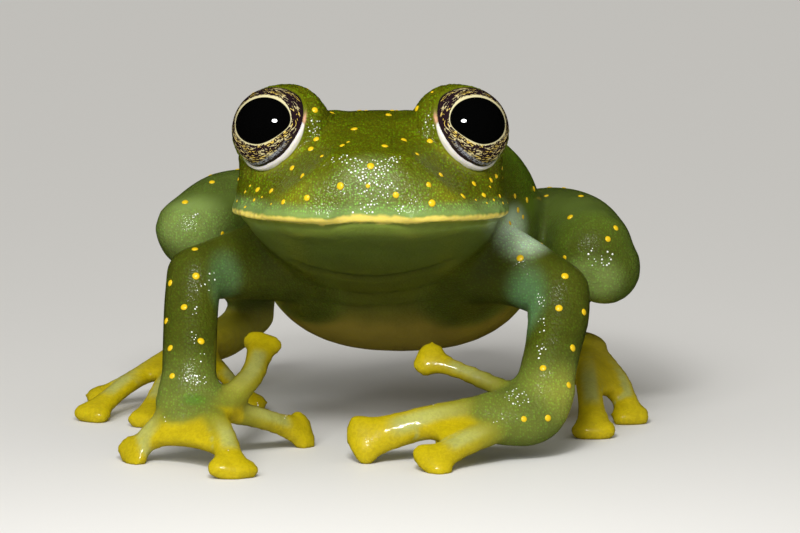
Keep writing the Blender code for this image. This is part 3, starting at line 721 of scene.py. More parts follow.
cheek_share, lid_white, lid_pink = np.zeros((3, count))
lid_bare = np.ones(count)
bearings_round, lid_edges, white_edges = np.array(LIDS).T
for side in (-1, 1):
    out, far, angle, bearing = round_the_eye(spots, side)
    opening = np.interp(bearing, bearings_round, lid_edges)
    white_edge = np.interp(bearing, bearings_round, white_edges)
    # The cheek is turned away from the gaze until the lower lid is clear of it.
    low_side = ease(-np.sin(np.radians(bearing - CHEEK_TILT)), 0.0, 0.4)
    close_by = ease(far, *CHEEK_STARTS) * fade(far, *CHEEK_ENDS)
    clear = white_edge - np.interp(far, *zip(*CHEEK_FALL))
    fall = CHEEK_SOFTNESS * np.logaddexp(0, (clear - angle) / CHEEK_SOFTNESS)
    turned = angle + low_side * close_by * fall
    ahead = np.array(gaze(side))
    sideways = out / far[:, None] - ahead * np.cos(np.radians(angle))[:, None]
    sideways /= np.maximum(np.linalg.norm(sideways, axis=1), 1e-9)[:, None]
    pointing = ahead * np.cos(np.radians(turned))[:, None] + sideways * np.sin(np.radians(turned))[:, None]
    # Then the skin is drawn onto the eyeball, and under it where the eye is open.
    hidden = EYE_RADIUS + LID_HIDDEN * fade(turned, opening - LID_EDGE, opening)
    rim = EYE_RADIUS + LID_RISE * ease(turned, opening, opening + LID_ROUNDING)
    rim += (far - rim) * ease(turned, white_edge + 1, white_edge + LID_BLEND)
    drawn = np.where(turned < opening, hidden, rim)
    drawn += (far - drawn) * ease(far, *BROW_OWN)
    spots = np.array(eye_centre(side)) + pointing * drawn[:, None]
    cheek_share += SOFT_SHARE * low_side * ease(far, *SOFT_STARTS) * fade(far, *SOFT_ENDS)
    near = fade(far, *LID_REACH)
    white = ease(turned, opening - 3, opening - 1) * fade(turned, white_edge - 4, white_edge + 2)
    white *= fade(drawn, *WHITE_REACH)
    white *= 1 - 0.4 * ease(-bearing, *WHITE_DIMMED)
    lid_white = np.maximum(lid_white, white * ease(white_edge - opening, 2.0, 4.5))
    corner = ((bearing - PINK_BEARING) / PINK_SPREAD) ** 2
    corner = np.exp(-corner - ((turned - opening - PINK_OUT) / PINK_OUT) ** 2)
    lid_pink = np.maximum(lid_pink, corner * near)
    lid_bare *= 1 - near * fade(turned, white_edge, white_edge + 3) * fade(drawn, *BARE_REACH)

cheek_share = np.minimum(cheek_share, SOFT_SHARE) * ease(spots[:, 2], *SOFT_HEIGHTS)
spots = softened(spots, cheek_share, CHEEK_ROUNDS)

stripe_height = LIP_HEIGHT + LIP_SLOPE * spots[:, 1] + np.interp(spots[:, 0], *zip(*STRIPE_WAVE))
on_muzzle = fade(spots[:, 1], *MUZZLE_ENDS) * ease(spots[:, 2], *MUZZLE_LOW)
crease = np.exp(-(((spots[:, 2] - stripe_height + MOUTH_DROP) / MOUTH_WIDTH) ** 2)) * on_muzzle
spots -= outward * (MOUTH_DEPTH * crease)[:, None]
fold_shade_painted = np.zeros(count)
for back, height, rise, depth, half in THROAT_FOLDS:
    fold_height = height + rise * spots[:, 0] ** 2
    here = np.exp(-(((spots[:, 2] - fold_height) / half) ** 2))
    here *= fade(np.abs(spots[:, 0]), *FOLD_ACROSS) * fade(np.abs(spots[:, 1] - back), *FOLD_REACH)
    spots -= outward * (depth * here)[:, None]
    fold_shade_painted = np.maximum(fold_shade_painted, here * depth / THROAT_FOLDS[0][3])
pit_place, pit_radius, pit_depth = PIT
for side in (-1, 1):
    away = np.linalg.norm(spots - np.array((side * pit_place[0], *pit_place[1:])), axis=1)
    spots -= outward * (pit_depth * np.exp(-((away / pit_radius) ** 2)))[:, None]
# Fine grains stand up all over the face and brows, and make their outline rough.
grain_share = ease(spots[:, 2], *FACE_GRAIN_STARTS) * fade(spots[:, 1], *FACE_GRAIN_ENDS) * lid_bare
grain_share *= ease(np.abs(spots[:, 2] - stripe_height), *FACE_GRAIN_LIP_GAP)
for i in np.flatnonzero(grain_share > 0.01):
    away = noise.voronoi(Vector(spots[i]) / FACE_GRAIN_PITCH)[0][0]
    spots[i] += outward[i] * (FACE_GRAIN_HEIGHT * grain_share[i] * (1 - min(away, 1) ** 2))
spots[:, 2] = np.maximum(spots[:, 2], 0)

# Each point then learns which limb or digit it lies on, how far along it and how far to its side.
SAMPLE_STEPS = 12
WEB_SAMPLES = (0.2, 0.35, 0.5, 0.65, 0.8, 0.95)  # shares across a web and out along it
WEB_SAMPLE_WIDTH = 0.42
# Greenness gives way to yellow along each limb: the share of yellow at its root and its tip.
YELLOWING = {
    "upper_arm": (0.0, 0.0), "forearm": (0.0, 0.0), "hand": (0.0, 0.15), "finger": (0.20, 1.0),
    "thigh": (0.0, 0.0), "shank": (0.0, 0.15), "foot": (0.25, 0.55), "toe": (0.55, 1.0),
}
WEB_YELLOWING = (0.45, 0.95)
LOW_LIMBS = (1.9, 2.4)  # below these heights there is nothing but hands and feet
LIMB_REACH = (1.25, 1.75)  # of a limb's half width
LIMB_SHARPNESS = 9  # how sharply one limb takes over from the next
centres, widths, yellows, digit_shares, crosses = [], [], [], [], []
rows_of = {name: (stations, 0) for name, stations in LIMBS.items()}
for name, (path, half_width, disc_half_width) in DIGITS.items():
    rows_of[name] = (digit_stations(path, half_width, disc_half_width), 1)
for name, (stations, is_digit) in rows_of.items():
    rows = smooth(stations, SAMPLE_STEPS)
    kind = name.split("_left")[0].split("_right")[0]
    low, high = YELLOWING[kind]
    for i, row in enumerate(rows):
        share = i / (len(rows) - 1)
        ahead = Vector(rows[min(i + 1, len(rows) - 1)][:3]) - Vector(rows[max(i - 1, 0)][:3])
        centres.append(row[:3])
        widths.append((row[3] + row[4]) / 2)
        yellows.append(low + (high - low) * share)
        digit_shares.append(is_digit * (share + 1e-3))
        crosses.append(axes(ahead, back_of(name))[0])
for span in WEBS:
    for side in WEB_SAMPLES:
        for out in WEB_SAMPLES:
            centres.append(in_web(span, side, out))
            widths.append(WEB_SAMPLE_WIDTH)
            yellows.append(WEB_YELLOWING[0] + (WEB_YELLOWING[1] - WEB_YELLOWING[0]) * out)
            digit_shares.append(0)
            crosses.append((0, 0, 0))
centres, widths, crosses = np.array(centres), np.array(widths), np.array(crosses)
yellows, digit_shares = np.array(yellows), np.array(digit_shares)
limb_yellow, limb_share, digit_run, digit_side = np.zeros((4, count))
BATCH = 4000
for start in range(0, count, BATCH):
    part = spots[start:start + BATCH]
    apart = np.linalg.norm(part[:, None] - centres[None], axis=2) / widths
    weight = np.exp(-((apart - apart.min(1)[:, None]) * LIMB_SHARPNESS))
    weight /= weight.sum(1)[:, None]
    best = apart.argmin(1)
    limb_yellow[start:start + BATCH] = weight @ yellows
    low = fade(part[:, 2], *LOW_LIMBS)
    limb_share[start:start + BATCH] = np.maximum(fade(apart.min(1), *LIMB_REACH), low)
    digit_run[start:start + BATCH] = weight @ digit_shares
    offset = ((part - centres[best]) * crosses[best]).sum(1) / widths[best]
    digit_side[start:start + BATCH] = offset

# The colours of the flesh that shows through, as linear values.
CROWN_GREEN = (0.104, 0.128, 0.0006)
BACK_GREEN = (0.095, 0.160, 0.006)
SNOUT_GREEN = (0.150, 0.195, 0.022)
CHEEK_GREEN = (0.235, 0.245, 0.005)
TEAL_GREEN = (0.205, 0.320, 0.090)
GLASSY_SHEEN_GREY = (0.190, 0.255, 0.080)
THROAT_GREEN = (0.098, 0.138, 0.020)
THROAT_LOW = (0.090, 0.102, 0.006)
JAW_PALE = (0.150, 0.205, 0.026)
BELLY_OLIVE = (0.260, 0.200, 0.022)
ARM_GREEN = (0.064, 0.080, 0.005)
WRIST_GREEN = (0.135, 0.175, 0.026)
ARMPIT_TEAL = (0.120, 0.260, 0.110)
WEB_YELLOW = (0.460, 0.360, 0.003)
SHAFT_PALE = (0.370, 0.380, 0.100)
FLANK_PALE = (0.540, 0.720, 0.500)
THIGH_GREEN = (0.090, 0.130, 0.020)
KNEE_PALE = (0.220, 0.310, 0.080)
FOOT_PALE = (0.400, 0.380, 0.045)
HEEL_PALE = (0.330, 0.360, 0.050)
PALM_GREEN = (0.080, 0.200, 0.012)
LID_PINK = (0.650, 0.350, 0.220)

GLASSY_SHEEN_PLACE = (0.0, 0.3, 10.9)
GLASSY_SHEEN_RADII = (1.6, 1.6, 1.5)
ARMPITS = (((-5.6, 7.0, 6.2), (1.0, 1.4, 1.8), 0.5), ((5.9, 7.0, 5.3), (1.3, 1.6, 2.2), 0.8))
FLANK_PLACE = (5.8, 9.0, 7.9)
FLANK_RADII = (1.5, 2.4, 1.4)
KNEES = (((-6.9, 11.8, 7.9), (2.0, 1.8, 1.6)), ((8.5, 10.6, 5.9), (1.7, 1.7, 1.3)))
HEEL_PLACE = (7.0, 5.0, 2.2)
HEEL_RADII = (1.8, 1.8, 1.7)
THUMBS_IN_HEAD_SHADOW = ((-4.5, 5.9, 3.3), (3.6, 5.6, 3.0))  # a little darker than the other fingers: painted shadow of the head
THUMB_SHADOW_RADII = (2.2, 2.2, 2.0)
PALM_PLACE = (-6.6, 3.1, 2.45)
PALM_RADII = (0.75, 0.6, 0.35)
# Where one part of the body gives way to the next: distances back from the snout, then heights.
HEAD_ENDS = (8.0, 9.5)
BACK_STARTS = (7.5, 12.0)
JAW_ENDS = (10.5, 12.0)
BELLY_STARTS = (8.2, 10.0)
VENT_STARTS = (22.0, 25.0)
LEGS_START = (10.0, 12.0)
HEAD_LOW = (7.5, 8.6)
WRIST_HEIGHTS = (2.6, 4.6)
FOOT_HEIGHTS = (2.2, 3.6)
BELLY_LINE = 0.42  # of the way from the trunk's underside to its widest line
BELLY_EDGE = (-0.9, 0.4)
# Heights above the lip's pale stripe.
SNOUT_TOP = (0.9, 2.3)
CHEEK_TOP = (2.2, 3.4)
TEAL_HEIGHT = 0.33
TEAL_EDGE = (0.08, 0.42)
JAW_TOP = (-0.26, -0.14)
THROAT_TOP = (-0.70, -0.38)
THROAT_BOTTOM = (-3.2, -0.9)
CHEEK_ACROSS = (1.8, 3.0)


def over(under, colour, share, strength=1.0):
    """One colour laid over others, by a share for each point."""
    return under + (np.array(colour) - under) * np.clip(share * strength, 0, 1)[:, None]


def spot_mask(place, radii):
    """1 in the middle of an ellipsoid and 0 outside it."""
    away = np.linalg.norm((spots - np.array(place)) / np.array(radii), axis=1)
    return fade(away, 0.35, 1.0)


X, Y, Z = spots.T
lift = Z - stripe_height
on_head = fade(Y, *HEAD_ENDS) * ease(Z, *HEAD_LOW)
front = ease(-outward[:, 1], 0.15, 0.75) * on_head
tint = np.tile(np.array(CROWN_GREEN), (count, 1))
tint = over(tint, BACK_GREEN, ease(Y, *BACK_STARTS))
tint = over(tint, SNOUT_GREEN, front * fade(lift, *SNOUT_TOP), strength=0.9)
cheek = front * ease(np.abs(X), *CHEEK_ACROSS) * fade(lift, *CHEEK_TOP)
tint = over(tint, CHEEK_GREEN, cheek, strength=0.8)
# The snout's middle is greyed: partly its own glassy tone, partly painted sheen of the wet skin.
tint = over(tint, GLASSY_SHEEN_GREY, spot_mask(GLASSY_SHEEN_PLACE, GLASSY_SHEEN_RADII), strength=0.8)
tint = over(tint, TEAL_GREEN, on_head * fade(np.abs(lift - TEAL_HEIGHT), *TEAL_EDGE), strength=0.85)
below = fade(lift, *JAW_TOP) * fade(Y, *JAW_ENDS) * (1 - limb_share)
tint = over(tint, JAW_PALE, below)
tint = over(tint, THROAT_GREEN, below * fade(lift, *THROAT_TOP))
tint = over(tint, THROAT_LOW, below * fade(lift, *THROAT_BOTTOM))
trunk_rows = smooth(TRUNK)
trunk_back = [row[0] for row in trunk_rows]
low_line = np.interp(Y, trunk_back, [row[5] + BELLY_LINE * (row[3] - row[5]) for row in trunk_rows])
belly = fade(Z - low_line, *BELLY_EDGE) * ease(Y, *BELLY_STARTS) * (1 - limb_share)
belly *= 1 - 0.7 * ease(Y, *VENT_STARTS)
tint = over(tint, BELLY_OLIVE, belly)
arms = limb_share * fade(Y, *LEGS_START)
legs = limb_share * ease(Y, *LEGS_START)
tint = over(tint, ARM_GREEN, arms)
tint = over(tint, THIGH_GREEN, legs)
for place, radii in KNEES:
    tint = over(tint, KNEE_PALE, spot_mask(place, radii), strength=0.8)
tint = over(tint, WRIST_GREEN, arms * fade(Z, *WRIST_HEIGHTS))
tint = over(tint, FOOT_PALE, legs * fade(Z, *FOOT_HEIGHTS))
tint = over(tint, HEEL_PALE, arms * spot_mask(HEEL_PLACE, HEEL_RADII), strength=0.8)
for place, radii, strength in ARMPITS:
    tint = over(tint, ARMPIT_TEAL, spot_mask(place, radii), strength)
tint = over(tint, FLANK_PALE, spot_mask(FLANK_PLACE, FLANK_RADII), strength=0.95)
# Fingers and toes are yellow at their discs and along their edges, and glassy along the shaft.
yellow_share = limb_yellow * limb_share
fingers = limb_share * ease(digit_run, 0.04, 0.40)
edges = fingers * ease(np.abs(digit_side), 0.60, 1.05) * 0.8
tint = over(tint, WEB_YELLOW, np.maximum(ease(yellow_share, 0.05, 0.75), edges))
shaft = fingers * fade(digit_run, 0.62, 0.80) * fade(np.abs(digit_side), 0.35, 0.85)
tint = over(tint, SHAFT_PALE, shaft, strength=0.85)
tint = over(tint, PALM_GREEN, spot_mask(PALM_PLACE, PALM_RADII), strength=0.7)
# Painted shade: the skin is darkened along the creases of the throat's folds.
tint *= 1 - 0.4 * (fold_shade_painted * (1 - limb_share))[:, None]
# Painted shade: the head's shadow darkens both thumbs.
for place in THUMBS_IN_HEAD_SHADOW:
    tint *= 1 - 0.3 * spot_mask(place, THUMB_SHADOW_RADII)[:, None]
tint = over(tint, LID_PINK, lid_pink)


def keep(mesh, name, values):
    """Stores one number for each point of a mesh, for its material."""
    mesh.attributes.new(name, "FLOAT", "POINT").data.foreach_set("value", values.astype(np.float32))


skin.data.vertices.foreach_set("co", (spots * MM).astype(np.float32).ravel())
skin.data.update()
colours = skin.data.attributes.new("flesh_tint", "FLOAT_COLOR", "POINT")
colours.data.foreach_set("color", np.hstack([tint, np.ones((count, 1))]).astype(np.float32).ravel())
half = (STRIPE_MIDDLE_HALF - STRIPE_HALF) * np.exp(-((X / STRIPE_MIDDLE_SPREAD) ** 2)) + STRIPE_HALF
stripe = 1 - np.abs(Z - stripe_height) / half
keep(skin.data, "lip_stripe", np.where(on_muzzle > 0.05, stripe, -5.0))
keep(skin.data, "lid_white", lid_white)
granular = (1 - 0.8 * below) * (1 - 0.7 * belly) * (1 - 0.45 * limb_share) * lid_bare
granular *= fade(yellow_share, 0.05, 0.5)
granular *= ease(np.abs(lift), 0.12, 0.5)
keep(skin.data, "granules", granular)
# Granules lie closer across the crown than along it.
CROWN_STARTS = 1.6
CROWN_ENDS = 8.0
CROWN_SQUEEZE = 0.5
stretched = Y - CROWN_SQUEEZE * (np.clip(Y, CROWN_STARTS, CROWN_ENDS) - CROWN_STARTS)
grain_place = skin.data.attributes.new("grain_place", "FLOAT_VECTOR", "POINT")
grain_place.data.foreach_set("vector", (np.array((X, stretched, Z)).T * MM).astype(np.float32).ravel())
keep(skin.data, "hand_yellow", ease(yellow_share, 0.1, 0.7))
# The skin shines everywhere, but less where its granules stand up: on the snout, in the hollows
# before the eyes, and on the forearms and the left knee.
COAT = 0.6
DULL_SPOTS = (
    ((-2.3, 2.5, 11.35), (1.5, 1.7, 1.0), 0.9),
    ((2.3, 2.5, 11.25), (1.6, 1.7, 1.1), 0.9),
    ((0.0, 0.6, 10.9), (2.4, 1.6, 1.6), 0.35),
    ((8.5, 10.6, 7.4), (1.2, 1.2, 1.0), 0.8),
    ((7.0, 6.5, 5.9), (1.3, 1.5, 1.8), 0.7),
    ((-6.7, 6.5, 6.4), (1.3, 1.5, 1.6), 0.7),
)
wetness = np.full(count, COAT)
for place, radii, strength in DULL_SPOTS:
    wetness *= 1 - strength * spot_mask(place, radii)
keep(skin.data, "wetness", wetness)

STRIPE_CREAM = (0.800, 0.640, 0.130, 1)
STRIPE_SHARE = 0.95
STRIPE_WANDER = 0.18  # of its half width, in or out
STRIPE_WANDER_SCALE = 2600.0
LID_WHITE = (0.680, 0.650, 0.580, 1)
CLOUD_SCALE = 900.0
CLOUD_SHADES = (0.92, 1.08)
GRANULE_SCALE = 10500.0  # granules a metre, so each is about a tenth of a millimetre across
GRANULE_DISORDER = 0.9
GRANULE_WOBBLE = 0.06
GRANULE_WOBBLE_SCALE = 6000.0
GRANULE_BRIGHT = (1.20, 1.75, 1.0)
GRANULE_DIM = (0.84, 0.74, 0.7)
GRANULE_RELIEF = 0.06
FIBRE_SCALE = 5000.0  # of the webs and yellow fingers
FIBRE_SHADES = (0.90, 1.10)
FIBRE_SHARE = 0.8
RIPPLE_SCALE = 1700.0
RIPPLE_RELIEF = 0.18


def node(tree, kind, inputs, output=0, **settings):
    """Adds a node, feeds it, and gives one of its outputs."""
    added = tree.nodes.new("ShaderNode" + kind)
    for key, value in settings.items():
        setattr(added, key, value)
    feed(tree, added, inputs)
    return added.outputs[output]


def kept(tree, name, output=2):
    """What a mesh keeps for each of its points: a colour is output 0, a place 1 and a number 2."""
    return node(tree, "Attribute", {}, output, attribute_name=name)


def ramp(tree, value, low, high, to_low=0.0, to_high=1.0):
    """A smooth run from one value to another while the input goes from low to high."""
    return node(tree, "MapRange", {0: value, 1: low, 2: high, 3: to_low, 4: to_high},
                interpolation_type="SMOOTHSTEP")


def maths(tree, work, one, two):
    return node(tree, "Math", {0: one, 1: two}, operation=work)


def times(tree, one, two):
    return maths(tree, "MULTIPLY", one, two)


def mixed(tree, share, under, over):
    """One colour over another, by a share."""
    return node(tree, "Mix", {0: share, 6: under, 7: over}, output=2, data_type="RGBA")


skin_finish, tree, shader = plain_material("moist_skin")
place = node(tree, "TexCoord", {}, output=3)
granules = kept(tree, "granules")
clouds = node(tree, "TexNoise", {"Vector": place, "Scale": CLOUD_SCALE, "Detail": 3.0})
shade = ramp(tree, clouds, 0.3, 0.7, *CLOUD_SHADES)
shaded = node(tree, "VectorMath", {0: kept(tree, "flesh_tint", 0), 3: shade}, operation="SCALE")
# Granules: each cell has a bright tip of its own strength on a dim ground.
wobble = node(tree, "TexNoise", {"Vector": place, "Scale": GRANULE_WOBBLE_SCALE, "Detail": 1.0}, output=1)
step = (GRANULE_WOBBLE * MM,) * 3
shifted = {0: wobble, 1: step, 2: kept(tree, "grain_place", 1)}
shifted = node(tree, "VectorMath", shifted, operation="MULTIPLY_ADD")
cell_place = {"Vector": shifted, "Scale": GRANULE_SCALE, "Randomness": GRANULE_DISORDER}
cells = node(tree, "TexVoronoi", cell_place)
tone = node(tree, "SeparateColor", {0: node(tree, "TexVoronoi", cell_place, output=1)})
bright = node(tree, "VectorMath", {0: shaded, 1: GRANULE_BRIGHT}, operation="MULTIPLY")
dim = node(tree, "VectorMath", {0: shaded, 1: GRANULE_DIM}, operation="MULTIPLY")
tip = times(tree, ramp(tree, cells, 0.20, 0.52, 1.0, 0.0), ramp(tree, tone, 0.15, 0.8, 0.3, 1.0))
skin_colour = mixed(tree, granules, shaded, mixed(tree, tip, dim, bright))
# Fibres show in the webs and the yellow of the fingers.
fibres = {"Vector": place, "Scale": FIBRE_SCALE, "Detail": 2.0, "Distortion": 1.5}
fibre_shade = ramp(tree, node(tree, "TexNoise", fibres), 0.35, 0.65, *FIBRE_SHADES)
veined = node(tree, "VectorMath", {0: skin_colour, 3: fibre_shade}, operation="SCALE")
skin_colour = mixed(tree, times(tree, kept(tree, "hand_yellow"), FIBRE_SHARE), skin_colour, veined)
# The lip's pale stripe has a ragged edge, and the lower lids are white.
edge_noise = node(tree, "TexNoise", {"Vector": place, "Scale": STRIPE_WANDER_SCALE, "Detail": 2.0})
wander = ramp(tree, edge_noise, 0.3, 0.7, -STRIPE_WANDER, STRIPE_WANDER)
stripe_here = ramp(tree, maths(tree, "ADD", kept(tree, "lip_stripe"), wander), 0.0, 0.75)
skin_colour = mixed(tree, times(tree, stripe_here, STRIPE_SHARE), skin_colour, STRIPE_CREAM)
skin_colour = mixed(tree, ramp(tree, kept(tree, "lid_white"), 0.25, 0.75), skin_colour, LID_WHITE)

dome_shape = maths(tree, "POWER", cells, 2.0)
relief = times(tree, dome_shape, maths(tree, "ADD", granules, GRANULE_RELIEF))
relief = {"Height": relief, "Strength": 0.5, "Distance": 0.06 * MM}
bumped = node(tree, "Bump", relief, invert=True)
ripples = node(tree, "TexNoise", {"Vector": place, "Scale": RIPPLE_SCALE, "Detail": 2.0})
ripples = {"Height": ripples, "Strength": RIPPLE_RELIEF, "Distance": 0.18 * MM, "Normal": bumped}
bumped = node(tree, "Bump", ripples)
feed(tree, shader, {
    "Base Color": skin_colour,
    "Normal": bumped,
    "Coat Normal": bumped,
    "Roughness": 0.45,
    "Specular IOR Level": 0.2,
    "Coat Weight": kept(tree, "wetness"),
    "Coat Roughness": 0.12,
    "Subsurface Weight": 0.35,
    "Subsurface Radius": (0.8, 1.0, 0.25),
    "Subsurface Scale": 0.5 * MM,
})
skin.data.materials.append(skin_finish)
skin.data.shade_smooth()
skin.data.transform(Matrix.Translation(STEP * MM))

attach(skin, "root")
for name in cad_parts:
    if not name.startswith("eye"):
        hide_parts(name)


# ---- The eyes
# Large wet eyeballs under a clear cornea: a wide black pupil lying on its side in a broken cream
# ring, and a dark purple iris with wavy yellow patches that run round it and a silvery lower rim.
EYE_SIDES = 96
EYE_RINGS = 64
PUPIL_HALF_WIDTH = 44.5  # degrees, seen from the ball's middle
PUPIL_HALF_HEIGHT = 35.0
PUPIL_INWARD = 1.5  # degrees from the middle of the gaze
PUPIL_UPWARD = 3.9
PUPIL_TURN = 8  # degrees that its inner end is raised
PUPIL_LEAN = 0.22  # how much flatter its lower edge is towards the nose
PATCH_TURNS = 2.3  # the iris's noise is drawn out round it: few turns round for many outwards
PATCH_OUTWARDS = 5.8
PATCH_EDGE = (0.715, 0.750)
RING_WIDTHS = (0.045, 0.16)  # of the cream ring, below and above the pupil
SILVER_GAP = (9.0, 12.0)  # degrees in from the lids
DARK_GAP = (3.5, 6.5)
PUPIL_BLACK = (0.001, 0.001, 0.001, 1)
IRIS_DARK = (0.016, 0.008, 0.011, 1)
IRIS_YELLOW = (0.700, 0.500, 0.090, 1)
IRIS_PALE = (0.620, 0.530, 0.280, 1)
IRIS_CREAM = (0.640, 0.580, 0.330, 1)
IRIS_SILVER = (0.300, 0.310, 0.350, 1)

eye_finish, tree, shader = plain_material("eye_net")
lid_gap = kept(tree, "lid_gap")
centred = {0: node(tree, "UVMap", {}, uv_map="bearings"), 1: (0.5, 0.5, 0)}
centred = node(tree, "VectorMath", centred, operation="SUBTRACT")
# The pupil: how far out each point lies from its middle, 1 at its edge.
aside = (PUPIL_INWARD / 180, PUPIL_UPWARD / 180, 0)
on_pupil = node(tree, "VectorMath", {0: centred, 1: aside}, operation="SUBTRACT")
turned = {"Vector": on_pupil, "Angle": math.radians(-PUPIL_TURN)}
turned = node(tree, "VectorRotate", turned, rotation_type="Z_AXIS")
squeeze = (180 / PUPIL_HALF_WIDTH, 180 / PUPIL_HALF_HEIGHT, 0)
squeezed = node(tree, "VectorMath", {0: turned, 1: squeeze}, operation="MULTIPLY")
pupil_x = node(tree, "SeparateXYZ", {0: squeezed}, output=0)
pupil_y = node(tree, "SeparateXYZ", {0: squeezed}, output=1)
leaning = ramp(tree, pupil_x, -0.2, 1.0, 0.0, PUPIL_LEAN)
lower = ramp(tree, pupil_y, -0.6, 0.1, 1.0, 0.0)
fuller = maths(tree, "ADD", times(tree, leaning, lower), 1.0)
leant = node(tree, "CombineXYZ", {0: pupil_x, 1: times(tree, pupil_y, fuller)})
from_pupil = node(tree, "VectorMath", {0: leant}, output=1, operation="LENGTH")
way_round = node(tree, "VectorMath", {0: centred}, operation="NORMALIZE")
ring_x = node(tree, "SeparateXYZ", {0: way_round}, output=0)
ring_y = node(tree, "SeparateXYZ", {0: way_round}, output=1)
# The iris: wavy yellow and pale patches on a dark ground.
wrapped = [times(tree, ring_x, PATCH_TURNS), times(tree, ring_y, PATCH_TURNS)]
wrapped = node(tree, "CombineXYZ", dict(enumerate([*wrapped, times(tree, from_pupil, PATCH_OUTWARDS)])))
patches = {"Vector": wrapped, "Scale": 1.8, "Detail": 2.0, "Roughness": 0.55, "Distortion": 1.3}
patches = node(tree, "TexNoise", patches)
broken = node(tree, "TexNoise", {"Vector": wrapped, "Scale": 6.0, "Detail": 1.0})
coverage = maths(tree, "ADD", patches, times(tree, broken, 0.35))
thinner = ramp(tree, ring_y, -0.4, 0.4, 0.0, 0.05)
net = ramp(tree, maths(tree, "SUBTRACT", coverage, thinner), *PATCH_EDGE)
hue = node(tree, "TexNoise", {"Vector": wrapped, "Scale": 0.9})
patch_colour = mixed(tree, ramp(tree, hue, 0.42, 0.6), IRIS_YELLOW, IRIS_PALE)
iris = mixed(tree, net, IRIS_DARK, patch_colour)
# A silvery net along the lower lid, and a dark edge all round.
low_down = ramp(tree, ring_y, -0.75, -0.35, 1.0, 0.0)
silver_here = times(tree, ramp(tree, lid_gap, *SILVER_GAP, 1.0, 0.0), low_down)
silver = mixed(tree, ramp(tree, broken, 0.42, 0.56), IRIS_DARK, IRIS_SILVER)
iris = mixed(tree, silver_here, iris, silver)
iris = mixed(tree, ramp(tree, lid_gap, *DARK_GAP, 1.0, 0.0), iris, IRIS_DARK)
# The cream ring is widest above the pupil and towards the nose, and broken elsewhere.
narrower = ramp(tree, ring_x, 0.45, 0.95, 1.0, 0.2)
ring_width = times(tree, ramp(tree, ring_y, -0.3, 0.7, *RING_WIDTHS), narrower)
ring_depth = maths(tree, "DIVIDE", maths(tree, "SUBTRACT", from_pupil, 1.0), ring_width)
raggedness = ramp(tree, ring_y, 0.0, 0.6, 3.4, 1.2)
ragged = maths(tree, "ADD", ring_depth, times(tree, broken, raggedness))
ragged = maths(tree, "SUBTRACT", ragged, times(tree, raggedness, 0.5))
iris = mixed(tree, ramp(tree, ragged, 0.75, 1.05, 1.0, 0.0), iris, IRIS_CREAM)
feed(tree, shader, {
    "Base Color": mixed(tree, ramp(tree, from_pupil, 0.975, 1.005), PUPIL_BLACK, iris),
    "Roughness": 0.5,
    "Specular IOR Level": 0.0,
    "Coat Weight": 1.0,
    "Coat Roughness": 0.02,
})

for side, name in ((-1, "eye_right"), (1, "eye_left")):
    bm = bmesh.new()
    bmesh.ops.create_uvsphere(bm, u_segments=EYE_SIDES, v_segments=EYE_RINGS, radius=EYE_RADIUS * MM)
    ahead = gaze(side)
    inward = ahead.cross(Vector(UP)).normalized() * side
    raised = inward.cross(ahead) * side
    frame_turn = Matrix((inward * side, raised, ahead)).transposed()
    bearings_layer = bm.loops.layers.uv.new("bearings")
    for face in bm.faces:
        for loop in face.loops:
            spot = loop.vert.co.normalized()
            angle = math.acos(max(-1, min(1, spot.z)))
            flat = Vector((spot.x * side, spot.y))
            flat = flat.normalized() if flat.length > 1e-6 else Vector((0, 0))
            loop[bearings_layer].uv = flat * (angle / math.pi) + Vector((0.5, 0.5))
    for vert in bm.verts:
        vert.co = frame_turn @ vert.co + (eye_centre(side) + STEP) * MM
    bmesh.ops.recalc_face_normals(bm, faces=bm.faces)
    ball = made(bm, "eyeball_left" if side > 0 else "eyeball_right")
    points = np.array([vert.co for vert in ball.data.vertices]) / MM - np.array(STEP)
    _, _, angle, bearing = round_the_eye(points, side)
    keep(ball.data, "lid_gap", np.interp(bearing, bearings_round, lid_edges) - angle)
    ball.data.materials.append(eye_finish)
    ball.data.shade_smooth()
    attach(ball, "root")
    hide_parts(name)


# ---- Raised flecks
# Small smooth yellow glands stand a little proud of the skin over the head, back and limbs.
# Each is a low dome set on the skin and lying along it.
FLECK_HEIGHT = 0.42  # these two are shares of its radius
FLECK_SINK = 0.08
FLECK_GROWTH = 1.25  # of the radii in the list, because the skin covers a fleck's foot
FLECK_SIDES = 12
FLECK_RINGS = 6
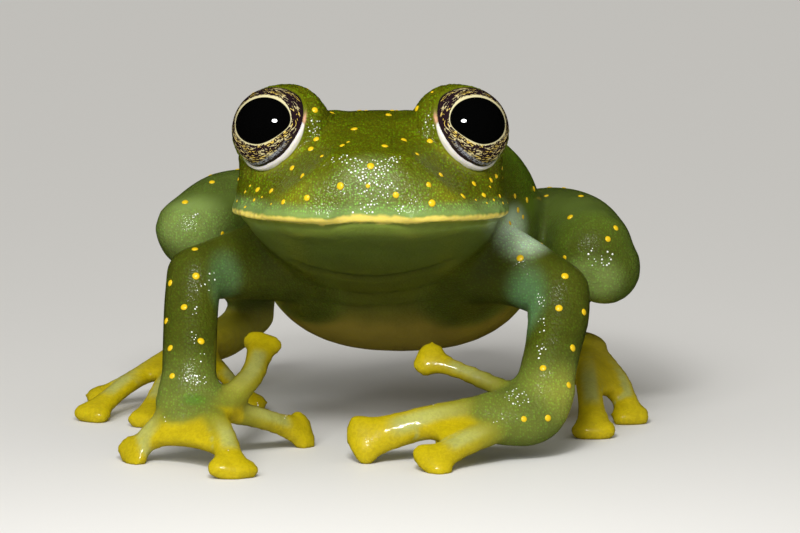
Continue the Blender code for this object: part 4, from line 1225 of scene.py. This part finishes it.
# Flecks that face the camera: place in its frame, and radius in millimetres.
FACING_FLECKS = (
    (310, 89, 0.11), (315, 110, 0.10), (332, 113, 0.10), (389, 115, 0.11), (417, 109, 0.11),
    (354, 129, 0.12), (404, 140, 0.10), (385, 146, 0.11), (342, 146, 0.10), (348, 142, 0.06),
    (316, 139, 0.10), (311, 149, 0.10), (322, 156, 0.07), (430, 141, 0.10), (417, 154, 0.08),
    (371, 166, 0.12), (340, 186, 0.12), (368, 186, 0.07), (302, 176, 0.10), (292, 168, 0.10),
    (258, 190, 0.10), (271, 191, 0.10), (283, 202, 0.09), (307, 198, 0.10), (396, 195, 0.10),
    (429, 185, 0.10), (441, 175, 0.10), (432, 203, 0.12), (463, 196, 0.11), (474, 184, 0.10),
    (491, 180, 0.09), (484, 195, 0.09), (195, 249, 0.11), (196, 276, 0.12), (170, 283, 0.11),
    (184, 307, 0.11), (166, 321, 0.11), (201, 341, 0.12), (170, 348, 0.11), (172, 376, 0.10),
    (185, 202, 0.11), (212, 182, 0.10), (520, 258, 0.12), (565, 276, 0.12), (559, 308, 0.12),
    (584, 312, 0.11), (573, 348, 0.12), (543, 368, 0.11), (569, 385, 0.11), (548, 418, 0.11),
    (524, 419, 0.10), (512, 149, 0.09), (515, 196, 0.09), (527, 200, 0.10), (534, 189, 0.10),
    (546, 196, 0.10), (518, 210, 0.10), (523, 217, 0.08), (510, 223, 0.08), (570, 217, 0.11),
    (581, 196, 0.10), (616, 228, 0.10), (608, 239, 0.10), (360, 110, 0.06), (397, 110, 0.06),
    (432, 92, 0.05), (245, 192, 0.06), (254, 200, 0.06), (237, 201, 0.05), (245, 207, 0.05),
    (271, 204, 0.04), (262, 197, 0.04), (250, 186, 0.05), (496, 176, 0.08), (500, 196, 0.07),
    (494, 200, 0.05), (476, 200, 0.04), (503, 203, 0.05), (487, 203, 0.04), (490, 187, 0.05),
)
UNSEEN_TRIES = 5000
UNSEEN_APART = 1.15  # millimetres between neighbouring flecks, at the least
UNSEEN_RADII = (0.07, 0.12)
UNSEEN_SEED = 11
UNSEEN_OVER_BELLY = 0.6
UNSEEN_LOWEST = 2.5
UNSEEN_BEHIND = 5  # on the head and trunk
FACING_LEAST = 0.15  # how squarely a place faces the camera to be one that it sees
RAY_LIFT = 0.1  # millimetres off the skin, where a line to the camera starts
FLECK_YELLOW = (0.760, 0.500, 0.004, 1)

skin_tree = BVHTree.FromObject(skin, bpy.context.evaluated_depsgraph_get())
camera_turn = camera.rotation_euler.to_matrix()
pixels_a_unit = LENS / SENSOR * FRAME_WIDTH


def behind(across, down):
    """The place on the skin that lies behind a place in the camera's frame, and its normal."""
    ray = Vector((across - FRAME_WIDTH / 2, FRAME_HEIGHT / 2 - down, -pixels_a_unit)).normalized()
    return skin_tree.ray_cast(camera.location, camera_turn @ ray)[:2]


domes = []
for across, down, radius in FACING_FLECKS:
    hit, normal = behind(across, down)
    if hit:
        domes.append((hit, normal, radius * FLECK_GROWTH))

# The rest of the back, flanks and limbs has flecks of the same kind, strewn evenly. They keep
# off the face, the belly, skin that faces down, and the yellow hands and feet.
chance = random.Random(UNSEEN_SEED)
fleck_ground = (Z > low_line + UNSEEN_OVER_BELLY) & (Z > UNSEEN_LOWEST)
fleck_ground &= (outward[:, 2] > -0.25) & (yellow_share < 0.08)
fleck_ground &= (Y > UNSEEN_BEHIND) | (limb_share > 0.5)
taken = [place / MM for place, _, _ in domes]
for _ in range(UNSEEN_TRIES):
    i = chance.randrange(count)
    radius = chance.uniform(*UNSEEN_RADII)
    place = Vector(spots[i]) + STEP
    if not fleck_ground[i] or any((place - other).length < UNSEEN_APART for other in taken):
        continue
    normal = Vector(outward[i]).normalized()
    to_camera = (camera.location - place * MM).normalized()
    start = place * MM + normal * RAY_LIFT * MM
    if normal.dot(to_camera) > FACING_LEAST and skin_tree.ray_cast(start, to_camera)[0] is None:
        continue
    taken.append(place)
    domes.append((place * MM, normal, radius))


def dome(bm, place, normal, radius, height, sink, sides, rings):
    """A low round dome on the skin."""
    turn = normal.to_track_quat("Z", "Y").to_matrix().to_4x4()
    size = Matrix.Diagonal((radius * MM, radius * MM, radius * MM * height, 1))
    seat = Matrix.Translation(place - normal * radius * MM * sink)
    bmesh.ops.create_uvsphere(bm, u_segments=sides, v_segments=rings, radius=1, matrix=seat @ turn @ size)


bm = bmesh.new()
for place, normal, radius in domes:
    dome(bm, place, normal, radius, FLECK_HEIGHT, FLECK_SINK, FLECK_SIDES, FLECK_RINGS)
flecks_piece = made(bm, "flecks")
fleck_finish, tree, shader = plain_material("fleck_yellow")
feed(tree, shader, {
    "Base Color": FLECK_YELLOW, "Roughness": 0.35, "Coat Weight": 0.4, "Coat Roughness": 0.15,
})
flecks_piece.data.materials.append(fleck_finish)
flecks_piece.data.shade_smooth()
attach(flecks_piece, "root")


# ---- Wet granules with painted glints
# Where the skin is wettest, the tips of its granules shine white: on the snout, the inner brows,
# the forearms, wrists and a knee. The shine is painted: tiny near-white beads, pressed into the skin.
BEAD_RADII = (0.020, 0.046)
BEAD_SMALLNESS = 1.6  # above 1, small beads are the commoner
BEADS_APART = 0.085  # millimetres between neighbouring beads, at the least
BEAD_HEIGHT = 0.6  # these two are shares of its radius
BEAD_SINK = 0.15
BEAD_SIDES = 8
BEAD_RINGS = 5
# Each patch: place in the camera's frame, its spread across and down, and how many beads.
PAINTED_GLINT_PATCHES = (
    (333, 158, 4, 4, 5), (345, 159, 6, 5, 14), (355, 166, 9, 8, 26), (370, 172, 15, 13, 62),
    (385, 164, 9, 8, 26), (396, 158, 6, 5, 12), (377, 191, 22, 8, 26), (392, 190, 8, 7, 12),
    (369, 204, 9, 4, 14), (361, 211, 14, 3, 10), (400, 209, 6, 5, 18), (411, 200, 6, 5, 8),
    (342, 189, 4, 6, 8), (381, 200, 9, 4, 8), (314, 126, 7, 9, 16), (430, 116, 2, 2, 4),
    (429, 127, 5, 7, 8), (212, 277, 4, 5, 5), (203, 288, 8, 4, 4), (196, 312, 4, 7, 6),
    (194, 335, 4, 10, 9), (203, 357, 3, 7, 3), (196, 380, 12, 5, 26), (541, 300, 4, 9, 14),
    (542, 325, 4, 9, 14), (541, 350, 5, 10, 16), (519, 397, 15, 9, 30), (600, 256, 13, 12, 24),
    (197, 215, 5, 5, 5), (164, 418, 4, 4, 4), (257, 404, 3, 2, 3), (286, 417, 3, 3, 4),
    (229, 450, 2, 2, 2), (495, 422, 4, 1, 5), (465, 392, 9, 4, 12), (420, 405, 14, 4, 12),
)
PAINTED_GLINT_PALE = (0.900, 0.930, 0.860, 1)

bm = bmesh.new()
set_beads = []
for across, down, wide, tall, number in PAINTED_GLINT_PATCHES:
    for _ in range(number):
        turn, reach = chance.uniform(0, 2 * math.pi), math.sqrt(chance.random())
        radius = BEAD_RADII[0] + (BEAD_RADII[1] - BEAD_RADII[0]) * chance.random() ** BEAD_SMALLNESS
        aside, below = wide * reach * math.cos(turn), tall * reach * math.sin(turn)
        hit, normal = behind(across + aside, down + below)
        if hit and all((hit - other).length > BEADS_APART * MM for other in set_beads):
            set_beads.append(hit)
            dome(bm, hit, normal, radius, BEAD_HEIGHT, BEAD_SINK, BEAD_SIDES, BEAD_RINGS)
beads = made(bm, "painted_glint_beads")
bead_finish, tree, shader = plain_material("painted_glint_bead_white")
# Painted highlight: the beads are near-white, so they show as glints under any lamp.
feed(tree, shader, {
    "Base Color": PAINTED_GLINT_PALE, "Roughness": 0.2, "Coat Weight": 1.0, "Coat Roughness": 0.05,
})
beads.data.materials.append(bead_finish)
beads.data.shade_smooth()
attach(beads, "root")
